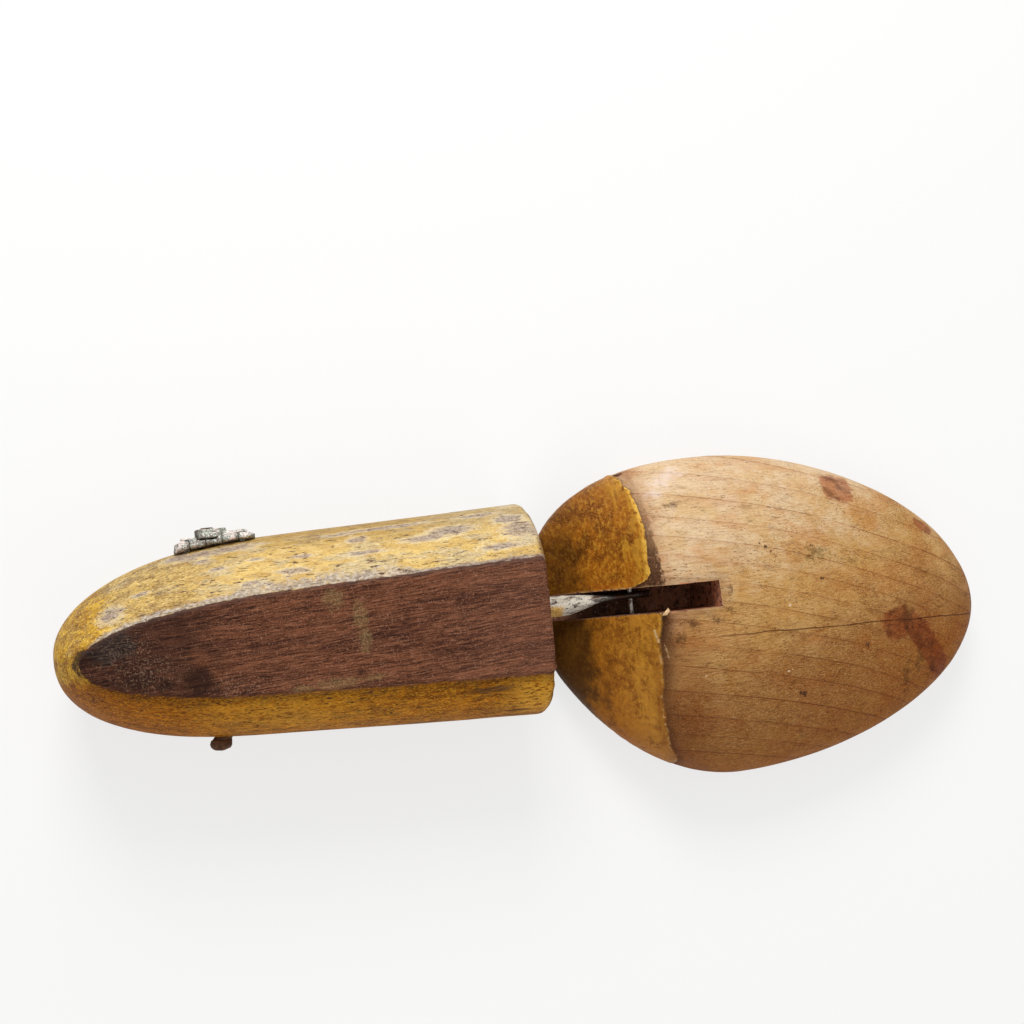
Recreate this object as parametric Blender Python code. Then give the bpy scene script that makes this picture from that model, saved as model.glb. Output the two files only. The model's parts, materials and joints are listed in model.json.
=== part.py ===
"""A hinged wooden shoe tree: a painted heel block, a steel link rod and a slotted forepart.

The object is modelled in metres, +Z up, standing on its two flat soles, toe towards +X.
Every piece is laid out from the toe pin: x = 0 is the pin's axis and y = 0 is the rod's middle plane.
One empty then carries the whole assembly so that the origin is under the middle of the object.
The outer side of the foot is +Y and the inner side, to which the toe leans, is -Y.
"""

import math

import bmesh
import bpy
import numpy as np
from mathutils import Matrix, Vector

# Forepart: reaches are measured from the toe pin, heights from the floor
TOE_REACH = 0.1086
REAR_REACH = 0.0254
WIDE_STATION = 0.0281
OUTER_WIDTH = 0.0400
INNER_WIDTH = 0.0542
TOE_LEAN = 0.0105
GIRTH_HEIGHT = 0.0110
RIDGE_STATION = 0.0045
RIDGE_HEIGHT = 0.0410
RIDGE_SKEW = math.radians(3.0)
SLOPE_HOLLOW = 0.0030
REAR_LIP_HEIGHT = 0.0090
SOLE_TUCK = 0.0070
TOE_SPRING_LENGTH = 0.0160
REAR_LIFT_LENGTH = 0.0065
REAR_LIFT_HEIGHT = 0.0030

# Slot of the forepart, in which the blade of the link turns
TOE_SLOT_WIDTH = 0.0074
TOE_SLOT_REACH = 0.0203
TOE_SLOT_FLOOR = 0.0095
TOE_SLOT_SHIFT = -0.0006

# Toe pin: a plain wire driven through the outer cheek and into the inner one
TOE_PIN_DIAMETER = 0.0020
TOE_PIN_HEIGHT = 0.0170
TOE_PIN_LENGTH = 0.0600
TOE_PIN_SETBACK = 0.0010

# Link: a round rod, flattened to a blade at the toe pin and to an eye at the heel bolt
LINK_LENGTH = 0.1189
ROD_DIAMETER = 0.0060
BLADE_THICKNESS = 0.0020
BLADE_HEIGHT = 0.0116
BLADE_SHIFT = 0.0010
BLADE_LENGTH = 0.0075
BLADE_TAPER = 0.0140
EYE_THICKNESS = 0.0050
EYE_HEIGHT = 0.0116
EYE_LENGTH = 0.0070
EYE_TAPER = 0.0120

# Heel block
BLOCK_GAP = 0.0050
HEEL_LENGTH = 0.1312
HEEL_WIDTH = 0.0598
HEEL_SEAT_WIDTH = 0.0550
HEEL_GIRTH_HEIGHT = 0.0230
HEEL_HEIGHT = 0.0500
HEEL_TOP_WIDTH = 0.0318
HEEL_TOP_LENGTH = 0.1221
HEEL_SEAT_INSET = 0.0050
HEEL_NOSE_LENGTH = 0.0560
HEEL_SIDE_TAPER = 0.17
HEEL_TOP_TAPER = 0.27
HEEL_CORNER_RADIUS = 0.0026
HEEL_EDGE_RADIUS = 0.0022
HEEL_GIRTH_SHIFT = 0.0006
HEEL_TOP_SHIFT = -0.0013

# Slot under the heel block, by which the rod swings out
HEEL_SLOT_WIDTH = 0.0080
ROD_TO_ROOF = 0.0010

# Heel bolt with its nut, the bent strip under the nut and the two tacks of the strip
BOLT_DIAMETER = 0.0040
BOLT_HEIGHT = 0.0250
BOLT_HEAD_DIAMETER = 0.0062
BOLT_HEAD_HEIGHT = 0.0030
BOLT_END_STANDOUT = 0.0004
NUT_ACROSS_FLATS = 0.0070
NUT_THICKNESS = 0.0026
STRIP_LENGTH = 0.0220
STRIP_HEIGHT = 0.0084
STRIP_THICKNESS = 0.0012
STRIP_SCALLOP = 0.0009
STRIP_FRONT_SHARE = 0.58
TACK_INSET = 0.0035
TACK_HEAD_DIAMETER = 0.0036
TACK_HEAD_HEIGHT = 0.0012
TACK_SHANK_DIAMETER = 0.0014
TACK_LENGTH = 0.0090

# Clearances: running gaps round pins and rods, and the gap between pieces that seat on each other
RUNNING_GAP = 0.0003
SEAT_GAP = 0.0003
CUT_MARGIN = 0.0100

# Exponents of the rounded outlines: higher is squarer
OUTER_FRONT_CURVE = (1.7, 1.9)
OUTER_REAR_CURVE = (2.5, 2.5)
INNER_FRONT_CURVE = (1.8, 1.92)
INNER_REAR_CURVE = (1.95, 1.52)
INSTEP_CURVE = (1.5, 1.8)
CROWN_CURVE = (1.8, 2.4)
SLOPE_CURVE = (2.6, 2.8)
HEEL_OUTER_NOSE_CURVE = (2.2, 2.1)
HEEL_INNER_NOSE_CURVE = (2.7, 2.5)
REAR_CURVE_OVERRUN = 0.0025

# Fineness of the facets
SLOPE_STATIONS = 8
FOREPART_STATIONS = 20
CROWN_STEPS = 22
TUCK_STEPS = 5
HEEL_LEVELS_ABOVE = 8
HEEL_LEVELS_BELOW = 5
NOSE_STEPS = 13
SIDE_STEPS = 5
CORNER_STEPS = 3
ROUND_SIDES = 24
PIN_SIDES = 16

# Places that follow from the sizes
HEEL_FRONT = -(REAR_REACH + BLOCK_GAP)
HEEL_REAR = HEEL_FRONT - HEEL_LENGTH
LINK_RISE = BOLT_HEIGHT - TOE_PIN_HEIGHT
BOLT_STATION = -math.sqrt(LINK_LENGTH**2 - LINK_RISE**2)

MAPLE = ((0.60, 0.40, 0.20, 1.0), 0.0, 0.50)
PAINTED_BEECH = ((0.56, 0.36, 0.08, 1.0), 0.0, 0.45)
RUSTY_STEEL = ((0.23, 0.13, 0.08, 1.0), 0.6, 0.75)
CHALKY_STEEL = ((0.52, 0.48, 0.43, 1.0), 0.4, 0.70)
BRIGHT_STEEL = ((0.70, 0.68, 0.64, 1.0), 1.0, 0.35)


def clear_scene():
    """Removes whatever the file holds, so that the model starts from nothing."""
    for old in list(bpy.data.objects):
        bpy.data.objects.remove(old, do_unlink=True)


def finish_material(name, look):
    """A Principled material from a colour, a metallic value and a roughness."""
    colour, metallic, roughness = look
    material = bpy.data.materials.new(name)
    material.use_nodes = True
    shader = material.node_tree.nodes["Principled BSDF"]
    shader.inputs["Base Color"].default_value = colour
    shader.inputs["Metallic"].default_value = metallic
    shader.inputs["Roughness"].default_value = roughness
    material.diffuse_color = colour
    return material


def new_object(name, mesh, look=None, smooth_angle=40.0):
    """An object in the scene, with its own material and smooth round faces."""
    piece = bpy.data.objects.new(name, mesh)
    bpy.context.scene.collection.objects.link(piece)
    if look is not None:
        mesh.materials.append(finish_material(name + "_finish", look))
        mesh.shade_smooth()
        mesh.set_sharp_from_angle(angle=math.radians(smooth_angle))
    return piece


def mesh_from_rings(name, rings, last_is_point=False):
    """A closed skin over rings of equal count: quads between them and a face over each end."""
    count = len(rings[0])
    vertices = [tuple(point) for ring in rings for point in ring]
    faces = [tuple(reversed(range(count)))]
    for k in range(len(rings) - 1):
        for i in range(count):
            j = (i + 1) % count
            faces.append((k * count + i, k * count + j, (k + 1) * count + j, (k + 1) * count + i))
    end = (len(rings) - 1) * count
    if last_is_point:
        faces = faces[: 1 + (len(rings) - 1) * count]
    else:
        faces.append(tuple(range(end, end + count)))
    mesh = bpy.data.meshes.new(name)
    mesh.from_pydata(vertices, [], faces)
    tidy = bmesh.new()
    tidy.from_mesh(mesh)
    bmesh.ops.remove_doubles(tidy, verts=tidy.verts, dist=1e-6)
    bmesh.ops.recalc_face_normals(tidy, faces=tidy.faces)
    tidy.to_mesh(mesh)
    tidy.free()
    return mesh


def prism(name, outline, low, high):
    """An outline in the x-z plane, carried along y from low to high."""
    rings = [[(x, y, z) for x, z in outline] for y in (low, high)]
    return mesh_from_rings(name, rings)


def round_bar(name, profile, sides):
    """A turned bar along y: a profile of (y, radius) pairs, spun round the y axis."""
    angles = [2 * math.pi * k / sides for k in range(sides)]
    rings = [[(r * math.cos(a), y, r * math.sin(a)) for a in angles] for y, r in profile]
    return mesh_from_rings(name, rings)


def cut(piece, cutter):
    """Takes the cutter's shape out of the piece, as a live modifier."""
    cutter.hide_render = True
    cutter.display_type = "WIRE"
    cutter.parent = piece.parent
    bite = piece.modifiers.new("cut_" + cutter.name, "BOOLEAN")
    bite.operation = "DIFFERENCE"
    bite.solver = "EXACT"
    bite.object = cutter


def falling(share, curve):
    """One at share 0, falling to nought at share 1 along a superellipse."""
    inner, outer = curve
    return max(0.0, 1.0 - min(1.0, share) ** inner) ** (1.0 / outer)


def forepart_side(x, front_curve, rear_curve):
    """How far one side stands from the slot axis at a station, as a share of its width."""
    if x >= WIDE_STATION:
        return falling((x - WIDE_STATION) / (TOE_REACH - WIDE_STATION), front_curve)
    return falling((WIDE_STATION - x) / (WIDE_STATION + REAR_REACH + REAR_CURVE_OVERRUN), rear_curve)


def outer_side(x):
    """The y of the outer outline: it falls to the toe tip ahead of the widest station."""
    share = forepart_side(x, OUTER_FRONT_CURVE, OUTER_REAR_CURVE)
    if x < WIDE_STATION:
        return OUTER_WIDTH * share
    return -TOE_LEAN + (OUTER_WIDTH + TOE_LEAN) * share


def inner_side(x):
    """The y of the inner outline, on the other side of the slot axis."""
    share = forepart_side(x, INNER_FRONT_CURVE, INNER_REAR_CURVE)
    if x < WIDE_STATION:
        return -INNER_WIDTH * share
    return -TOE_LEAN - (INNER_WIDTH - TOE_LEAN) * share


def slope_share(s):
    """How far a station lies up the rear slope: nought at the rear lip, one at the ridge and ahead of it."""
    return min(1.0, (s + REAR_REACH) / (RIDGE_STATION + REAR_REACH))


def instep_height(s):
    """The height of the crown line: up a hollow slope to the ridge, then falling to the toe."""
    if s < RIDGE_STATION:
        share = slope_share(s)
        straight = REAR_LIP_HEIGHT + (RIDGE_HEIGHT - REAR_LIP_HEIGHT) * share
        return straight - SLOPE_HOLLOW * 4 * share * (1 - share)
    share = (s - RIDGE_STATION) / (TOE_REACH - RIDGE_STATION)
    return GIRTH_HEIGHT + (RIDGE_HEIGHT - GIRTH_HEIGHT) * falling(share, INSTEP_CURVE)


def sole_height(s):
    """The underside: flat, with a rounded rise at the toe and a lifted edge at the rear."""
    toe = max(0.0, s - (TOE_REACH - TOE_SPRING_LENGTH)) / TOE_SPRING_LENGTH
    rear = max(0.0, REAR_LIFT_LENGTH - (s + REAR_REACH)) / REAR_LIFT_LENGTH
    return GIRTH_HEIGHT * (1.0 - falling(toe, (2.0, 2.0))) + REAR_LIFT_HEIGHT * rear**2


def skew_at(s):
    """How far a section is turned in plan: fully at the ridge, and not at all at the rear lip and the toe."""
    ahead = (s - RIDGE_STATION) / (TOE_REACH - RIDGE_STATION)
    share = slope_share(s) if s < RIDGE_STATION else max(0.0, 1.0 - ahead)
    return math.tan(RIDGE_SKEW) * share * share * (3 - 2 * share)


def forepart_ring(s):
    """One section, turned by the skew: a crowned top over the girth line, tucked in to the flat sole."""
    skew = skew_at(s)
    left = outer_side(s - skew * outer_side(s))
    right = inner_side(s - skew * inner_side(s))
    middle, half = (left + right) / 2, (left - right) / 2
    top, sole, rise = instep_height(s), sole_height(s), slope_share(s)
    girth = min(GIRTH_HEIGHT, (sole + top) / 2)
    tuck = min(SOLE_TUCK, 0.6 * half)
    across, up = (low + (high - low) * rise for low, high in zip(SLOPE_CURVE, CROWN_CURVE))
    section = []
    for k in range(CROWN_STEPS + 1):
        angle = math.pi * k / CROWN_STEPS
        c, rising = math.cos(angle), max(0.0, math.sin(angle))
        y = middle + half * math.copysign(abs(c) ** (2.0 / across), c)
        section.append((y, girth + (top - girth) * rising ** (2.0 / up)))
    for side in (-1.0, 1.0):
        turns = range(1, TUCK_STEPS + 1) if side < 0 else range(TUCK_STEPS, 0, -1)
        for k in turns:
            angle = 0.5 * math.pi * k / TUCK_STEPS
            y = middle + side * (half - tuck + tuck * math.cos(angle))
            section.append((y, girth - (girth - sole) * math.sin(angle)))
    return [(s - skew * y, y, z) for y, z in section]


def forepart_stations():
    """Stations up the slope to the ridge, and on to the toe, drawn together where the toe rounds over."""
    slope, crown = RIDGE_STATION + REAR_REACH, TOE_REACH - RIDGE_STATION
    behind = [-REAR_REACH + slope * k / SLOPE_STATIONS for k in range(SLOPE_STATIONS)]
    steps = range(FOREPART_STATIONS + 1)
    return behind + [RIDGE_STATION + crown * math.sin(0.5 * math.pi * k / FOREPART_STATIONS) for k in steps]


def box_mesh(name, low, high):
    """A plain block between two corners."""
    outline = [(low[0], low[2]), (high[0], low[2]), (high[0], high[2]), (low[0], high[2])]
    return prism(name, outline, low[1], high[1])


def pin_entry():
    """The y of the outer cheek's surface where the toe pin enters it."""
    middle = (outer_side(0.0) + inner_side(0.0)) / 2
    half = (outer_side(0.0) - inner_side(0.0)) / 2
    across, up = CROWN_CURVE
    top = instep_height(OUTER_WIDTH * math.tan(RIDGE_SKEW))
    rise = (TOE_PIN_HEIGHT - GIRTH_HEIGHT) / (top - GIRTH_HEIGHT)
    return middle + half * (1.0 - rise**up) ** (1.0 / across)


def build_forepart(assembly):
    """The slotted forepart: sections lofted from the rear lip to the toe, cut by the slot and the pin's bore."""
    rings = [forepart_ring(x) for x in forepart_stations()]
    block = new_object("forepart_block", mesh_from_rings("forepart_block", rings, True), MAPLE)
    block.parent = assembly
    slot_half = TOE_SLOT_WIDTH / 2
    low = (-REAR_REACH - CUT_MARGIN, TOE_SLOT_SHIFT - slot_half, TOE_SLOT_FLOOR)
    high = (TOE_SLOT_REACH, TOE_SLOT_SHIFT + slot_half, RIDGE_HEIGHT + CUT_MARGIN)
    cut(block, new_object("toe_slot_cutter", box_mesh("toe_slot_cutter", low, high)))
    entry = pin_entry()
    bore_end = entry - TOE_PIN_SETBACK - TOE_PIN_LENGTH - SEAT_GAP
    radius = TOE_PIN_DIAMETER / 2 + RUNNING_GAP
    bore = round_bar("toe_bore", [(bore_end, radius), (entry + CUT_MARGIN, radius)], PIN_SIDES)
    bore.transform(Matrix.Translation((0, 0, TOE_PIN_HEIGHT)))
    cut(block, new_object("toe_bore", bore))
    return block


def build_toe_pin(assembly):
    """The wire pin, with its ends slightly broken, whose origin lies on the toe hinge."""
    start = pin_entry() - TOE_PIN_SETBACK
    radius, chamfer = TOE_PIN_DIAMETER / 2, TOE_PIN_DIAMETER / 8
    profile = [
        (start - TOE_PIN_LENGTH, radius - chamfer),
        (start - TOE_PIN_LENGTH + chamfer, radius),
        (start - chamfer, radius),
        (start, radius - chamfer),
    ]
    pin = new_object("toe_pin", round_bar("toe_pin", profile, PIN_SIDES), BRIGHT_STEEL)
    pin.parent = assembly
    pin.location = (0, 0, TOE_PIN_HEIGHT)
    return pin


def smooth_step(share):
    """A share eased at both ends, held between nought and one."""
    share = min(1.0, max(0.0, share))
    return share * share * (3 - 2 * share)


def link_section(t):
    """Half thickness, half height and sideways shift of the link at a distance t behind the toe pin."""
    rod = ROD_DIAMETER / 2
    toe = 1.0 - smooth_step((t - BLADE_LENGTH) / BLADE_TAPER)
    heel = 1.0 - smooth_step((LINK_LENGTH - EYE_LENGTH - t) / EYE_TAPER)
    thick = rod + (BLADE_THICKNESS / 2 - rod) * toe + (EYE_THICKNESS / 2 - rod) * heel
    tall = rod + (BLADE_HEIGHT / 2 - rod) * toe + (EYE_HEIGHT / 2 - rod) * heel
    front, back = BLADE_HEIGHT / 2, EYE_HEIGHT / 2
    if t < 0.0:
        tall = math.sqrt(max(0.0, front**2 - t**2))
    if t > LINK_LENGTH:
        tall = math.sqrt(max(0.0, back**2 - (t - LINK_LENGTH) ** 2))
    return thick, tall, BLADE_SHIFT * toe


def link_stations():
    """Distances along the link, closest together at the round ends and the tapers."""
    front, back = BLADE_HEIGHT / 2, EYE_HEIGHT / 2
    ends = [math.cos(math.radians(a)) for a in (12, 30, 50, 70)]
    toe = [-front * e for e in ends]
    heel = [LINK_LENGTH + back * e for e in reversed(ends)]
    taper_in = [BLADE_LENGTH + BLADE_TAPER * k / 5 for k in range(6)]
    taper_out = [LINK_LENGTH - EYE_LENGTH - EYE_TAPER * (5 - k) / 5 for k in range(6)]
    return toe + [0.0] + taper_in + taper_out + [LINK_LENGTH] + heel


def build_link(assembly):
    """The link rod: a round bar whose ends are hammered flat and drilled, from toe pin to heel bolt."""
    rings = []
    for t in link_stations():
        thick, tall, shift = link_section(t)
        flat = 1.0 - thick / (ROD_DIAMETER / 2)
        power = 1.0 - 0.55 * max(0.0, flat)
        ring = []
        for k in range(ROUND_SIDES):
            a = 2 * math.pi * (k + 0.5) / ROUND_SIDES
            c, s = math.cos(a), math.sin(a)
            y = shift + thick * math.copysign(abs(c) ** power, c)
            ring.append((-t, y, tall * math.copysign(abs(s) ** power, s)))
        rings.append(ring)
    link = new_object("link_rod", mesh_from_rings("link_rod", rings), CHALKY_STEEL)
    link.parent = assembly
    link.location = (0, 0, TOE_PIN_HEIGHT)
    link.rotation_euler = (0, math.asin(LINK_RISE / LINK_LENGTH), 0)
    reach = ROD_DIAMETER + CUT_MARGIN
    for name, t, diameter in (
        ("blade_hole", 0.0, TOE_PIN_DIAMETER),
        ("eye_hole", LINK_LENGTH, BOLT_DIAMETER),
    ):
        radius = diameter / 2 + RUNNING_GAP
        hole = round_bar(name, [(-reach, radius), (reach, radius)], ROUND_SIDES)
        cutter = new_object(name, hole)
        cut(link, cutter)
        cutter.parent = link
        cutter.location = (-t, 0, 0)
    return link


def heel_share_above(z):
    """How far a height lies from the girth line to the flat top, from nought to one."""
    return max(0.0, z - HEEL_GIRTH_HEIGHT) / (HEEL_HEIGHT - HEEL_GIRTH_HEIGHT)


def heel_share_below(z):
    """How far a height lies from the girth line down to the seat, from nought to one."""
    return max(0.0, HEEL_GIRTH_HEIGHT - z) / HEEL_GIRTH_HEIGHT


def heel_half_width(z):
    """Half the width at the front face: an ellipse that the flat top and the seat cut off."""
    wide = HEEL_WIDTH / 2
    if z >= HEEL_GIRTH_HEIGHT:
        fullest = math.sqrt(1.0 - (HEEL_TOP_WIDTH / HEEL_WIDTH) ** 2)
        return wide * math.sqrt(1.0 - (fullest * heel_share_above(z)) ** 2)
    fullest = math.sqrt(1.0 - (HEEL_SEAT_WIDTH / HEEL_WIDTH) ** 2)
    return wide * math.sqrt(1.0 - (fullest * heel_share_below(z)) ** 2)


def heel_length(z):
    """The length at a height: it draws in towards the top and, less, towards the seat."""
    above = (HEEL_LENGTH - HEEL_TOP_LENGTH) * heel_share_above(z) ** 2
    below = HEEL_SEAT_INSET * heel_share_below(z) ** 2
    return HEEL_LENGTH - above - below


def heel_shift(z):
    """How far the section's middle lies from the rod's plane."""
    return HEEL_GIRTH_SHIFT + (HEEL_TOP_SHIFT - HEEL_GIRTH_SHIFT) * heel_share_above(z)


def heel_side(x, z, nose_curve=HEEL_OUTER_NOSE_CURVE):
    """The distance from the section's middle to its outer side, or with the other curve to its inner side."""
    back, length = HEEL_FRONT - x, heel_length(z)
    above = heel_share_above(z)
    taper = HEEL_SIDE_TAPER + (HEEL_TOP_TAPER - HEEL_SIDE_TAPER) * above
    straight = 1.0 - taper * back / length
    nose = max(0.0, back - (length - HEEL_NOSE_LENGTH)) / HEEL_NOSE_LENGTH
    return heel_half_width(z) * straight * falling(nose, nose_curve)


def heel_ring(z, inset):
    """The bullet-shaped outline at a height, drawn in by an inset, from one front corner to the other."""
    length, r = heel_length(z) - inset, HEEL_CORNER_RADIUS
    places = []
    for k in range(CORNER_STEPS + 1):
        angle = 0.5 * math.pi * k / CORNER_STEPS
        places.append((inset + r * (1 - math.sin(angle)), r * (1 - math.cos(angle))))
    places = places[::-1]
    straight = length - HEEL_NOSE_LENGTH
    for k in range(1, SIDE_STEPS + 1):
        places.append((inset + r + (straight - inset - r) * k / SIDE_STEPS, 0.0))
    for k in range(1, NOSE_STEPS):
        places.append((straight + HEEL_NOSE_LENGTH * math.sin(0.5 * math.pi * k / NOSE_STEPS), 0.0))
    shift = heel_shift(z)
    sides = []
    for way, nose_curve in ((1.0, HEEL_OUTER_NOSE_CURVE), (-1.0, HEEL_INNER_NOSE_CURVE)):
        side = []
        for back, draw in places:
            x = HEEL_FRONT - back
            wide = heel_side(min(HEEL_FRONT, x - (inset if back > straight else 0.0)), z, nose_curve)
            side.append((x, shift + way * max(0.0, wide - draw - inset), z))
        sides.append(side)
    return sides[0] + [(HEEL_FRONT - length, shift, z)] + sides[1][::-1]


def heel_levels():
    """Heights and insets from the seat to the flat top, with a rounded edge at the seat."""
    levels = []
    for k in range(4):
        angle = math.radians(30 * k)
        levels.append((HEEL_EDGE_RADIUS * (1 - math.cos(angle)), HEEL_EDGE_RADIUS * (1 - math.sin(angle))))
    rise = HEEL_GIRTH_HEIGHT - HEEL_EDGE_RADIUS
    for k in range(1, HEEL_LEVELS_BELOW + 1):
        levels.append((HEEL_EDGE_RADIUS + rise * k / HEEL_LEVELS_BELOW, 0.0))
    rise = HEEL_HEIGHT - HEEL_GIRTH_HEIGHT
    for k in range(1, HEEL_LEVELS_ABOVE + 1):
        share = math.sin(0.5 * math.pi * k / HEEL_LEVELS_ABOVE)
        levels.append((HEEL_GIRTH_HEIGHT + rise * share, 0.0))
    return levels


def rod_height(x):
    """The height of the rod's axis at a station."""
    return TOE_PIN_HEIGHT + LINK_RISE * x / BOLT_STATION


def build_heel_block(assembly):
    """The heel block: bullet outlines lofted upwards, with the rod's slot and the bolt's bore."""
    rings = [heel_ring(z, inset) for z, inset in heel_levels()]
    block = new_object("heel_block", mesh_from_rings("heel_block", rings), PAINTED_BEECH)
    block.parent = assembly
    roof = ROD_DIAMETER / 2 + ROD_TO_ROOF
    eye = EYE_HEIGHT / 2 + ROD_TO_ROOF
    throat = BOLT_STATION + EYE_LENGTH + EYE_TAPER
    outline = [
        (HEEL_FRONT + CUT_MARGIN, -CUT_MARGIN),
        (HEEL_FRONT + CUT_MARGIN, rod_height(HEEL_FRONT + CUT_MARGIN) + roof),
        (throat, rod_height(throat) + roof),
        (BOLT_STATION + eye, BOLT_HEIGHT + eye),
        (BOLT_STATION - eye, BOLT_HEIGHT + eye),
        (BOLT_STATION - eye, -CUT_MARGIN),
    ]
    half = HEEL_SLOT_WIDTH / 2
    cut(block, new_object("heel_slot_cutter", prism("heel_slot_cutter", outline, -half, half)))
    bore_radius = BOLT_DIAMETER / 2 + RUNNING_GAP
    reach = HEEL_WIDTH / 2 + CUT_MARGIN
    bore = round_bar("bolt_bore", [(-reach, bore_radius), (reach, bore_radius)], ROUND_SIDES)
    bore.transform(Matrix.Translation((BOLT_STATION, 0, BOLT_HEIGHT)))
    cut(block, new_object("bolt_bore", bore))
    for name, x in tack_stations():
        cut(block, tack_bore(name + "_bore", x))
    return block


def strip_ends():
    """The stations of the strip's front and rear ends, either side of the bolt."""
    front = BOLT_STATION + STRIP_LENGTH * STRIP_FRONT_SHARE
    return front, front - STRIP_LENGTH


def tack_stations():
    """The names and stations of the two tacks, set in from the strip's ends."""
    front, rear = strip_ends()
    return [("tack_front", front - TACK_INSET), ("tack_rear", rear + TACK_INSET)]


def wood_face(x, z):
    """The y of the heel block's outer side."""
    return heel_shift(z) + heel_side(x, z)


def strip_outer_face(x):
    """The y of the strip's outer face at the height of the bolt."""
    return wood_face(x, BOLT_HEIGHT) + SEAT_GAP + STRIP_THICKNESS


def tack_bore(name, x):
    """The hole of a tack, through the strip and into the wood."""
    face = strip_outer_face(x)
    radius = TACK_SHANK_DIAMETER / 2 + RUNNING_GAP
    depth = TACK_LENGTH + SEAT_GAP
    hole = round_bar(name, [(face - depth, radius), (face + CUT_MARGIN, radius)], PIN_SIDES)
    hole.transform(Matrix.Translation((x, 0, BOLT_HEIGHT)))
    return new_object(name, hole)


def build_bolt(assembly):
    """The cross bolt: a domed head on the inner side and a plain end past the nut."""
    inner = heel_side(BOLT_STATION + BOLT_HEAD_DIAMETER / 2, BOLT_HEIGHT, HEEL_INNER_NOSE_CURVE)
    seat = heel_shift(BOLT_HEIGHT) - inner - SEAT_GAP
    end = nut_seat() + NUT_THICKNESS + BOLT_END_STANDOUT
    head, shank = BOLT_HEAD_DIAMETER / 2, BOLT_DIAMETER / 2
    profile = [(seat - BOLT_HEAD_HEIGHT, head * 0.12)]
    for degrees in (25, 50, 75, 90):
        a = math.radians(degrees)
        rise = BOLT_HEAD_HEIGHT * 0.8 * math.cos(a)
        profile.append((seat - BOLT_HEAD_HEIGHT * 0.2 - rise, head * math.sin(a)))
    chamfer = shank / 4
    profile += [(seat, head), (seat, shank), (end - chamfer, shank), (end, shank - chamfer)]
    bolt = new_object("heel_bolt", round_bar("heel_bolt", profile, ROUND_SIDES), RUSTY_STEEL)
    bolt.parent = assembly
    bolt.location = (BOLT_STATION, 0, BOLT_HEIGHT)
    return bolt


def nut_seat():
    """The y at which the nut sits: just clear of the strip at its proudest under the nut."""
    return strip_outer_face(BOLT_STATION + NUT_ACROSS_FLATS / 2) + SEAT_GAP


def build_nut(assembly):
    """The hexagon nut on the strip, its corners turned off on the outer face."""
    seat, corner = nut_seat(), NUT_ACROSS_FLATS / math.sqrt(3)
    profile = [(seat, corner), (seat + NUT_THICKNESS * 0.8, corner), (seat + NUT_THICKNESS, corner * 0.86)]
    nut = new_object("bolt_nut", round_bar("bolt_nut", profile, 6), RUSTY_STEEL, 20.0)
    nut.parent = assembly
    nut.location = (BOLT_STATION, 0, BOLT_HEIGHT)
    radius = BOLT_DIAMETER / 2 + RUNNING_GAP
    reach = HEEL_WIDTH
    cutter = new_object("nut_hole", round_bar("nut_hole", [(-reach, radius), (reach, radius)], ROUND_SIDES))
    cut(nut, cutter)
    cutter.parent = nut
    return nut


def build_strip(assembly):
    """The thin strip under the nut, bent to the block's side, its long edges eaten into scallops."""
    front, rear = strip_ends()
    rings = []
    steps = 20
    for k in range(steps + 1):
        share = k / steps
        x = front + (rear - front) * share
        wave = 0.5 - 0.5 * math.cos(2 * math.pi * 4 * share)
        half = STRIP_HEIGHT / 2 - STRIP_SCALLOP * wave
        low, high = BOLT_HEIGHT - half, BOLT_HEIGHT + half
        ring = []
        for outward, z in ((0, low), (1, low), (1, BOLT_HEIGHT), (1, high), (0, high), (0, BOLT_HEIGHT)):
            y = wood_face(x, min(z, BOLT_HEIGHT)) + SEAT_GAP + STRIP_THICKNESS * outward
            ring.append((x, y, z))
        rings.append(ring)
    strip = new_object("bolt_strip", mesh_from_rings("bolt_strip", rings), CHALKY_STEEL)
    strip.parent = assembly
    reach = HEEL_WIDTH
    radius = BOLT_DIAMETER / 2 + RUNNING_GAP
    hole = round_bar("strip_hole", [(-reach, radius), (reach, radius)], ROUND_SIDES)
    hole.transform(Matrix.Translation((BOLT_STATION, 0, BOLT_HEIGHT)))
    cut(strip, new_object("strip_hole", hole))
    for name, x in tack_stations():
        cut(strip, tack_bore(name + "_strip_bore", x))
    return strip


def build_tacks(assembly):
    """The two tacks: a low domed head on the strip and a shank that runs to a point in the wood."""
    for name, x in tack_stations():
        face = strip_outer_face(x + TACK_HEAD_DIAMETER / 2)
        seat = face + SEAT_GAP
        tip = strip_outer_face(x) - TACK_LENGTH
        head, shank = TACK_HEAD_DIAMETER / 2, TACK_SHANK_DIAMETER / 2
        profile = [(tip, shank * 0.15), (tip + 3 * shank, shank), (seat, shank), (seat, head)]
        for degrees in (35, 65, 85):
            a = math.radians(degrees)
            profile.append((seat + TACK_HEAD_HEIGHT * math.sin(a), head * math.cos(a)))
        tack = new_object(name, round_bar(name, profile, PIN_SIDES), RUSTY_STEEL)
        tack.parent = assembly
        tack.location = (x, 0, BOLT_HEIGHT)


def assembly_origin():
    """The point under the middle of the whole object, in the toe pin's layout."""
    stations = np.linspace(-REAR_REACH, TOE_REACH, 400)
    high = max(outer_side(x) for x in stations)
    low = min(inner_side(x) for x in stations)
    return Vector(((TOE_REACH + HEEL_REAR) / 2, (high + low) / 2, 0.0))


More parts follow.
